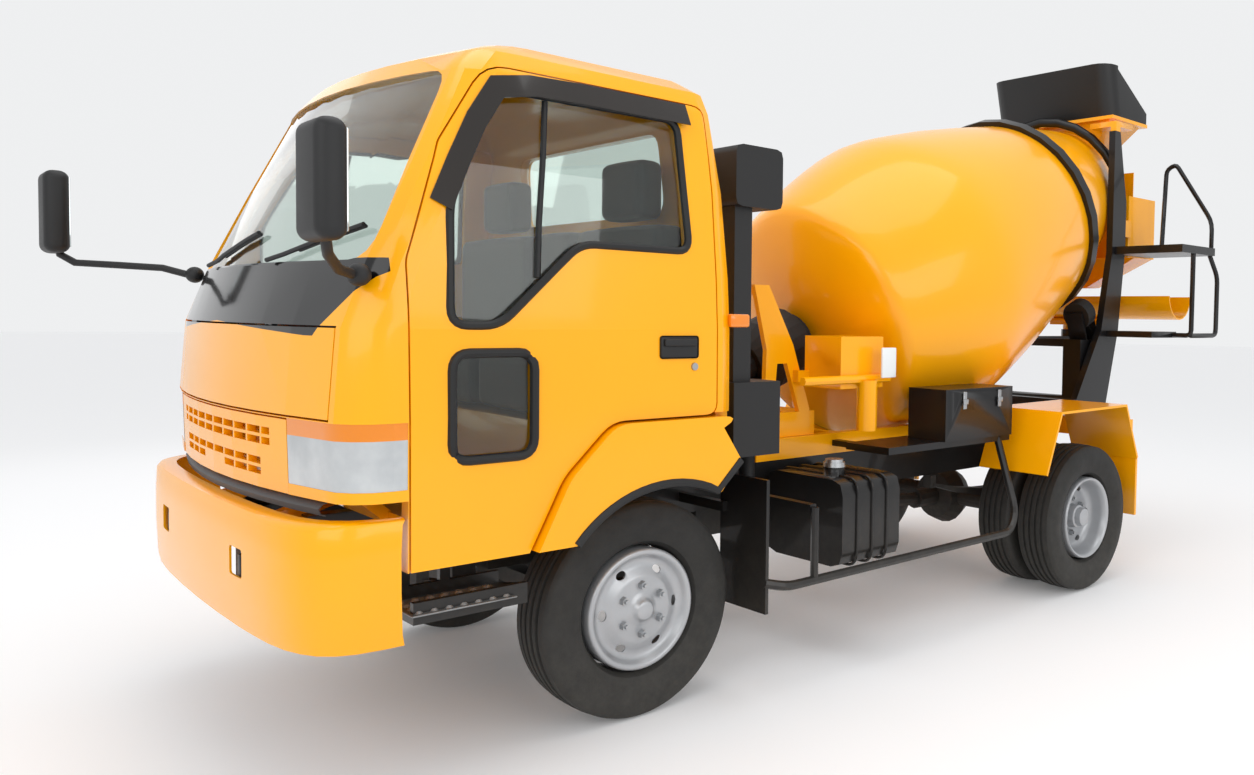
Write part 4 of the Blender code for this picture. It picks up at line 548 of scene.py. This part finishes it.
# A tow eye shows in each opening, through a black plate that closes the opening behind it.
bm = bmesh.new()
for side in (1, -1):
    block(bm, (1.070, side * 0.335, 0.585), (1.076, side * 0.465, 0.695), 0.001, 1)
    block(bm, (0.960, side * 0.385, 0.590), (1.086, side * 0.415, 0.660), 0.006, 2)
fit("tow_eyes", bm, black_enamel, "chassis")

# ---------------------------------------------------------------------------------------------
# Grille and headlamps. The grille is an amber pressing with rows of slots. Each lamp is a clear
# lens over a bright reflector, with an amber turn lamp above it and round the corner.
dress(["grille"], yellow_enamel)
bm = bmesh.new()
for low, high, level, ends in ((0.9605, 1.0105, 0.986, 4), (0.8735, 0.9235, 0.8985, 3)):
    for count in range(-ends, ends + 1):
        y = count * 0.0985
        x = touch("grille", (2.0, y, level), (-1, 0, 0))[0].x
        block(bm, (x - 0.024, y - 0.007, low), (x - 0.001, y + 0.007, high), 0.001, 1)
fit("grille_ribs", bm, yellow_enamel, "cab")
lamp_lens = finish_of("clear acrylic lens over a bright reflector", "#8a9094", "#e4e6e6", 0.12, metal=0.4,
                      coat=1.0, grain=0.25, grain_mm=9, patch_mm=150)


def on_the_amber(tree, spot):
    """One on the amber strip along the lamp's top and on the upper part of its end."""
    high = add_node(tree, "Math", {0: (spot, "Z")}, operation="GREATER_THAN")
    high.inputs[1].default_value = 1.000
    return high


patch_on(lamp_lens, "#f08a10", 0.10, on_the_amber)
refined(["headlamp_left", "headlamp_right"], lamp_lens, angle=30)

# ---------------------------------------------------------------------------------------------
# Mirrors. Black moulded heads on bent steel arms, with the glass on their rear faces.
silvered_glass = finish_of("silvered mirror glass", "#c3cacb", "#d5dbdc", 0.03, metal=1.0)
MIRRORS = (("left", [(0.935, 0.835, 1.428), (0.985, 0.880, 1.437), (1.040, 0.975, 1.468),
                     (1.066, 1.040, 1.500), (1.072, 1.050, 1.580)],
            (1.042, 0.967, 1.492), (1.113, 1.133, 1.768)),
           ("right", [(0.930, -0.835, 1.458), (1.000, -0.885, 1.481), (1.120, -0.960, 1.487),
                      (1.235, -1.032, 1.492), (1.275, -1.050, 1.520), (1.288, -1.052, 1.600)],
            (1.252, -1.133, 1.524), (1.328, -0.977, 1.816)))
for word, arm, low, high in MIRRORS:
    side = 1 if word == "left" else -1
    bm = bmesh.new()
    block(bm, low, high, 0.030, 5)
    hose(bm, arm, 0.013, 12)
    bmesh.ops.create_uvsphere(bm, u_segments=20, v_segments=12, radius=0.030,
                              matrix=Matrix.Translation(Vector(arm[0]) - Vector((0.018, side * 0.012, 0))))
    head = fit("mirror_head_" + word, bm, black_moulding, "cab", angle=50)
    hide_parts("mirror_" + word)
    bm = bmesh.new()
    block(bm, (low[0] - 0.0015, low[1] + 0.018, low[2] + 0.022),
          (low[0] + 0.004, high[1] - 0.018, high[2] - 0.022), 0.0015, 1)
    fit("mirror_glass_" + word, bm, silvered_glass, "cab")

# ---------------------------------------------------------------------------------------------
# Wheel arch lips. A soft black rubber strip is pushed over the edge of each front wing.
AXLE_HEIGHT = 0.362
ARCH, LIP_SIDE = 0.440, 0.888
for side, word in ((1, "left"), (-1, "right")):
    bm = bmesh.new()
    arc = [(0.330, side * LIP_SIDE, 0.652)]
    for step in range(15):
        turn = radians(46 + 70 * step / 14)
        arc.append((ARCH * cos(turn), side * LIP_SIDE, AXLE_HEIGHT + ARCH * sin(turn)))
    arc.append((-0.290, side * LIP_SIDE, 0.850))
    hose(bm, arc, 0.016, 10)
    fit("wing_lip_" + word, bm, seal_rubber, "cab")

# ---------------------------------------------------------------------------------------------
# Side marker lamps on the cab's rear corners: an amber lens that stands straight back.
amber_lens = finish_of("amber acrylic lens", "#e8790a", "#f08c14", 0.12, coat=1.0, grain=0.3, grain_mm=6)
red_lens = finish_of("red acrylic lens", "#8f0d0b", "#a81410", 0.12, coat=1.0, grain=0.3, grain_mm=6)
for side, word in ((1, "left"), (-1, "right")):
    bm = bmesh.new()
    block(bm, (-0.345, side * 0.832, 1.300), (-0.262, side * 0.868, 1.345), 0.008, 3)
    fit("marker_lamp_" + word, bm, amber_lens, "cab")

# ---------------------------------------------------------------------------------------------
# Cab steps. A galvanised plate pressed with rows of raised holes lies on each step bracket.
galvanised = finish_of("galvanised pressed steel", "#9b9d9e", "#7c7e80", 0.45, metal=0.8, grain=0.3,
                       grain_mm=4, patch_mm=25, dirt=0.3)
for side, word in ((1, "left"), (-1, "right")):
    spot, _ = touch("chassis_frame", (0.630, side * 0.760, 0.66), (0, 0, -1))
    bm = bmesh.new()
    block(bm, (0.490, side * 0.665, spot.z + 0.001), (0.790, side * 0.838, spot.z + 0.006), 0.0015, 1)
    for row in range(4):
        for hole in range(7):
            centre = Matrix.Translation((0.515 + hole * 0.0417, side * (0.690 + row * 0.041), spot.z + 0.009))
            bmesh.ops.create_cone(bm, cap_ends=True, segments=10, radius1=0.015, radius2=0.009, depth=0.007,
                                  matrix=centre)
    fit("step_tread_" + word, bm, galvanised, "chassis")

# ---------------------------------------------------------------------------------------------
# Cab inside. A dark moulded dashboard, a thin-rimmed steering wheel, and two seats in grey
# woven cloth, each a cushion, a back and a headrest of moulded foam.
dress(["dashboard", "steering_wheel"], black_moulding)
seat_cloth = finish_of("grey woven polyester seat cloth", "#3a3b3e", "#4a4b4e", 0.9, grain=0.6, grain_mm=3,
                       patch_mm=30)
seat_cloth.node_tree.nodes["Principled BSDF"].inputs["Sheen Weight"].default_value = 0.4
SEAT_LOW, SEAT_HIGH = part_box("seats")


def cushion(name, low, high, ease, crown):
    """A foam pad: a rounded block whose faces swell towards the middle and whose sides draw in."""
    bm = bmesh.new()
    block(bm, low, high, ease, 3)
    bmesh.ops.subdivide_edges(bm, edges=bm.edges, cuts=3, use_grid_fill=True)
    middle = (Vector(low) + Vector(high)) / 2
    half = (Vector(high) - Vector(low)) / 2
    for vert in bm.verts:
        rel = Vector(((vert.co[i] - middle[i]) / half[i] for i in range(3)))
        swell = crown * (1 - min(1, rel.y ** 2)) * (1 - min(1, max(rel.x ** 2, rel.z ** 2) * 0.5))
        vert.co += Vector((rel.x, 0, rel.z)) * swell * 0.5
        seam = abs(abs(rel.y) - 0.55)
        if seam < 0.05:
            vert.co -= Vector((rel.x, 0, rel.z)) * 0.004
    piece = fit(name, bm, seat_cloth, "cab", angle=80, moved=False)
    piece.modifiers.new("soft", "SUBSURF").levels = 1
    piece.modifiers["soft"].render_levels = 1
    return piece


span = SEAT_HIGH.y - SEAT_LOW.y
for count, (start, end) in enumerate(((0.0, 0.40), (0.42, 0.62), (0.64, 1.0))):
    left, right = SEAT_LOW.y + span * start, SEAT_LOW.y + span * end
    word = ("right", "middle", "left")[count]
    cushion("seat_cushion_" + word, (SEAT_LOW.x + 0.12, left, SEAT_LOW.z + 0.02),
                            (SEAT_HIGH.x - 0.02, right, SEAT_LOW.z + 0.20), 0.03, 0.02)
    cushion("seat_back_" + word, (SEAT_LOW.x + 0.02, left, SEAT_LOW.z + 0.20),
                            (SEAT_LOW.x + 0.15, right, SEAT_HIGH.z - 0.24), 0.035, 0.02)
    if word != "middle":
        mid = (left + right) / 2
        cushion("headrest_" + word, (SEAT_LOW.x + 0.03, mid - 0.13, SEAT_HIGH.z - 0.21),
                                (SEAT_LOW.x + 0.13, mid + 0.13, SEAT_HIGH.z - 0.01), 0.03, 0.015)
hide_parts("seats")

# ---------------------------------------------------------------------------------------------
# Tyres. Moulded black rubber on steel cords, a ribbed tread with four deep grooves and fine
# cross cuts, and a rounded sidewall with two moulded rings and a rim guard.
tyre_rubber = finish_of("dusty tyre rubber", "#121213", "#1a1a19", 0.7, grain=0.4, grain_mm=4, patch_mm=60,
                        dirt=0.35, dirt_top=0.9, dirt_hue="#6f6a61")
TYRE_TURNS = 120
BEAD_RADIUS = 0.213


def tyre(name, node, body):
    """Spins the tyre's section, with its ribs and grooves, to the size of its CAD node."""
    low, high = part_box(node)
    centre = (low + high) / 2
    half, outer = (high.y - low.y) / 2, (high.z - low.z) / 2
    bead = BEAD_RADIUS
    tread = half * 0.80
    line = [(-half * 0.62, bead), (-half * 0.80, bead + 0.012), (-half * 0.93, bead + 0.045),
            (-half * 0.965, bead + 0.060), (-half, bead + 0.078), (-half * 0.985, bead + 0.096),
            (-half * 0.94, outer - 0.024), (-half * 0.90, outer - 0.013), (-tread, outer - 0.005)]
    ribs = 5
    groove = tread * 2 * 0.045
    for rib in range(ribs):
        a = -tread + tread * 2 * rib / ribs
        b = -tread + tread * 2 * (rib + 1) / ribs
        crown = 0.005 * (((a + b) / 2 / tread) ** 2)
        if rib:
            line += [(a + groove * 0.7, outer - 0.011), (a + groove, outer - crown)]
        if rib < ribs - 1:
            line += [(b - groove, outer - crown), (b - groove * 0.7, outer - 0.011)]
    line += [(-y, r) for y, r in line[8::-1]]
    bm = bmesh.new()
    verts = [bm.verts.new((centre.x, centre.y + y, centre.z + r)) for y, r in line]
    edges = [bm.edges.new((a, b)) for a, b in zip(verts, verts[1:])]
    edges.append(bm.edges.new((verts[-1], verts[0])))
    bmesh.ops.spin(bm, geom=verts + edges, cent=centre, axis=(0, 1, 0), angle=2 * pi, steps=TYRE_TURNS,
                   use_merge=True)
    bmesh.ops.remove_doubles(bm, verts=bm.verts, dist=0.00005)
    bmesh.ops.recalc_face_normals(bm, faces=bm.faces)
    piece = fit(name, bm, tyre_rubber, body, angle=32, moved=False)
    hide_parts(node)


for word in ("left", "right"):
    tyre("front_tyre_tread_" + word, "front_tyre_" + word, f"front_{word}_wheel")
    tyre("rear_outer_tyre_tread_" + word, "rear_outer_tyre_" + word, f"rear_{word}_wheels")
    tyre("rear_inner_tyre_tread_" + word, "rear_inner_tyre_" + word, f"rear_{word}_wheels")

# ---------------------------------------------------------------------------------------------
# Wheels. Pressed steel discs welded into rolled rims, sprayed silver. The front disc bulges out
# to its hub, the rear one is dished in, and each has hand holes round it and a ring of nuts.
silver_paint = finish_of("silver wheel enamel on steel", "#bfc1c4", "#a9abae", 0.34, metal=0.55, coat=0.2,
                         grain=0.12, grain_mm=3, dirt=0.30, dirt_top=0.9, dirt_hue="#77706a")
FRONT_DISC = [(-0.020, 0.0), (-0.020, 0.026), (-0.016, 0.032), (-0.004, 0.036), (0.000, 0.046),
              (0.003, 0.052), (0.006, 0.060), (0.006, 0.104), (0.010, 0.116), (0.022, 0.134),
              (0.028, 0.150), (0.026, 0.164), (0.018, 0.173), (0.006, 0.179), (0.000, 0.186),
              (-0.001, 0.194), (0.004, 0.2005), (0.012, 0.2025), (0.155, 0.2025), (0.160, 0.193),
              (0.040, 0.190), (0.036, 0.160), (0.016, 0.110), (0.016, 0.0)]
REAR_DISC = [(0.018, 0.0), (0.018, 0.036), (0.022, 0.043), (0.050, 0.047), (0.054, 0.056), (0.096, 0.060),
             (0.100, 0.068), (0.100, 0.108), (0.103, 0.122), (0.105, 0.146), (0.098, 0.160), (0.074, 0.172),
             (0.040, 0.178), (0.012, 0.182), (0.002, 0.190), (0.000, 0.197), (0.005, 0.2010), (0.014, 0.2025),
             (0.160, 0.2025), (0.165, 0.194), (0.118, 0.186), (0.114, 0.120), (0.114, 0.0)]
REAR_INNER = [(0.110, 0.0), (0.110, 0.074), (0.250, 0.075), (0.258, 0.160), (0.252, 0.188),
              (0.238, 0.194), (0.240, 0.2025), (0.385, 0.2025), (0.396, 0.2010), (0.399, 0.194),
              (0.392, 0.188), (0.270, 0.188), (0.268, 0.078), (0.400, 0.073), (0.400, 0.0)]
WHEELBASE = 2.498
FRONT_FACE, REAR_FACE = 0.745, 0.928


def disc_wheel(node, body, at, face, side, outlines, nut_ring, nut_face, hole_ring, nuts, holes):
    """Spins the wheel's section, cuts its hand holes through and screws on its nuts."""
    centre = Vector((at, side * face, AXLE_HEIGHT))
    discs = []
    for part, outline in zip(("_disc", "_inner_disc"), outlines):
        bm = bmesh.new()
        verts = [bm.verts.new(centre + Vector((0, -side * t, r))) for t, r in outline]
        edges = [bm.edges.new(pair) for pair in zip(verts, verts[1:])]
        bmesh.ops.spin(bm, geom=verts + edges, cent=centre, axis=(0, 1, 0), angle=2 * pi, steps=72,
                       use_merge=True)
        bmesh.ops.remove_doubles(bm, verts=bm.verts, dist=0.0001)
        bmesh.ops.recalc_face_normals(bm, faces=bm.faces)
        discs.append(fit(node + part, bm, silver_paint, body, angle=50))
    cutter = bmesh.new()
    for count in range(holes):
        turn = 2 * pi * (count + 0.5) / holes
        spot = centre + Vector((AXLE + hole_ring * sin(turn), -side * 0.05, hole_ring * cos(turn)))
        place = Matrix.Translation(spot) @ Matrix.Rotation(turn, 4, "Y")
        place = place @ Matrix.Diagonal((1.5, 1, 1, 1)) @ Matrix.Rotation(pi / 2, 4, "X")
        bmesh.ops.create_cone(cutter, cap_ends=True, segments=24, radius1=0.0125, radius2=0.0125, depth=0.16,
                              matrix=place)
    cut_out(discs[0], cutter, 50)
    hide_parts(node)
    bm = bmesh.new()
    for count in range(nuts):
        turn = 2 * pi * count / nuts
        spot = centre + Vector((nut_ring * sin(turn), side * (0.009 - nut_face), nut_ring * cos(turn)))
        place = Matrix.Translation(spot) @ Matrix.Rotation(-side * pi / 2, 4, "X")
        bmesh.ops.create_cone(bm, cap_ends=True, segments=6, radius1=0.0155, radius2=0.0145, depth=0.020,
                              matrix=place)
        stud = place @ Matrix.Translation((0, 0, 0.012))
        bmesh.ops.create_cone(bm, cap_ends=True, segments=14, radius1=0.008, radius2=0.007, depth=0.012,
                              matrix=stud)
    fit(node + "_nuts", bm, bright_steel, body)


for side, word in ((1, "left"), (-1, "right")):
    disc_wheel("front_wheel_" + word, f"front_{word}_wheel", 0, FRONT_FACE, side, [FRONT_DISC],
               nut_ring=0.082, nut_face=0.006, hole_ring=0.139, nuts=6, holes=6)
    disc_wheel("rear_wheel_" + word, f"rear_{word}_wheels", -WHEELBASE, REAR_FACE, side,
               [REAR_DISC, REAR_INNER], nut_ring=0.088, nut_face=0.100, hole_ring=0.146, nuts=6, holes=6)

# ---------------------------------------------------------------------------------------------
# Running gear and black steelwork. Rails, axles, guards, tank, rear frame and platform.
dress(["chassis_frame", "side_guard_left", "side_guard_right"], black_enamel)
dress(["front_axle", "rear_axle", "engine_and_driveline", "knuckle_left", "knuckle_right"], underbody_paint)
refined(["fuel_tank", "rear_frame", "platform", "toolbox", "toolbox_lid"], black_enamel,
        angle=40)
refined(["air_intake"], black_moulding, angle=40)
dress(["drum_gearbox", "roller_left", "roller_right"], underbody_paint)

# ---------------------------------------------------------------------------------------------
# Small fittings: the tank's bright cap and its straps, the toolbox's hasps, the dial on the
# drum's control box, and the red and amber lamps under the rear bar.
bm = bmesh.new()
for size, depth, up in ((0.046, 0.018, 0.754), (0.038, 0.014, 0.768)):
    bmesh.ops.create_cone(bm, cap_ends=True, segments=36, radius1=size, radius2=size * 0.94, depth=depth,
                          matrix=Matrix.Translation((-0.930, 0.700, up)))
fit("tank_cap", bm, bright_steel, "chassis")
bm = bmesh.new()
for x in (-1.090, -1.005, -0.920):
    strap = along([(x, 0.398, 0.368), (x, 0.842, 0.368), (x, 0.842, 0.712), (x, 0.398, 0.712)], 0.055)
    hose(bm, strap, 0.006, 8, closed=True)
fit("tank_straps", bm, black_enamel, "chassis")
bm = bmesh.new()
for x in (-1.920, -1.660):
    block(bm, (x - 0.012, 0.785, 0.940), (x + 0.012, 0.791, 1.018), 0.002, 1)
    block(bm, (x - 0.018, 0.788, 0.962), (x + 0.018, 0.796, 0.985), 0.003, 2)
fit("toolbox_hasps", bm, bright_steel, "box_lid")
white_dial = finish_of("white enamelled dial under glass", "#dfe2e3", "#eceeee", 0.15, coat=0.8)
bm = bmesh.new()
block(bm, (-1.345, 0.644, 1.085), (-1.255, 0.656, 1.215), 0.006, 2)
fit("control_dial", bm, white_dial, "chassis")
bm = bmesh.new()
for side in (1, -1):
    block(bm, (-3.250, side * 0.500, 0.590), (-3.236, side * 0.640, 0.690), 0.005, 2)
fit("tail_lamps", bm, red_lens, "chassis")
bm = bmesh.new()
for side in (1, -1):
    block(bm, (-3.250, side * 0.650, 0.590), (-3.236, side * 0.730, 0.690), 0.005, 2)
fit("rear_turn_lamps", bm, amber_lens, "chassis")

# ---------------------------------------------------------------------------------------------
# Drum. Rolled sheet steel cones welded end to end, with a dished head at the nose, a black
# rolling ring near the mouth and a rolled lip round the opening.
NOSE = Vector((-1.350, 0, 1.245))
TILT = radians(22)
DRUM_LINE = [(0.030, 0.262), (0.060, 0.380), (0.094, 0.500), (0.118, 0.560), (0.140, 0.588),
             (0.170, 0.604), (0.250, 0.630), (0.350, 0.661), (0.450, 0.690), (0.560, 0.716),
             (0.660, 0.736), (0.750, 0.746), (0.840, 0.744), (0.950, 0.732), (1.200, 0.697),
             (1.500, 0.640), (1.815, 0.573), (2.150, 0.478), (2.480, 0.380)]
bm = bmesh.new()
back = Vector((-cos(TILT), 0, sin(TILT)))
side_way = Vector((sin(TILT), 0, cos(TILT)))
inner_wall = [(2.480, 0.352), (2.300, 0.400), (1.815, 0.560), (1.200, 0.684), (0.750, 0.733),
              (0.250, 0.617), (0.150, 0.570), (0.060, 0.300), (0.050, 0.0)]
shell = [(0.030, 0.0), (0.030, 0.12)] + DRUM_LINE + inner_wall
verts = [bm.verts.new(NOSE + back * t + side_way * r) for t, r in shell]
edges = [bm.edges.new(pair) for pair in zip(verts, verts[1:])]
bmesh.ops.spin(bm, geom=verts + edges, cent=NOSE, axis=back, angle=2 * pi, steps=128, use_merge=True)
bmesh.ops.remove_doubles(bm, verts=bm.verts, dist=0.0001)
bmesh.ops.recalc_face_normals(bm, faces=bm.faces)
drum = fit("drum_shell", bm, yellow_enamel, "drum", angle=28)
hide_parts("mixer_drum")
refined(["drum_ring"], black_enamel, angle=40)

# ---------------------------------------------------------------------------------------------
# Feed hood. A black rubber sheet hood stands over the hopper's mouth.
rubber_sheet = finish_of("black rubber sheet", "#0d0d0e", "#171718", 0.42, grain=0.3, grain_mm=6)
refined(["hopper_hood"], rubber_sheet, angle=50)
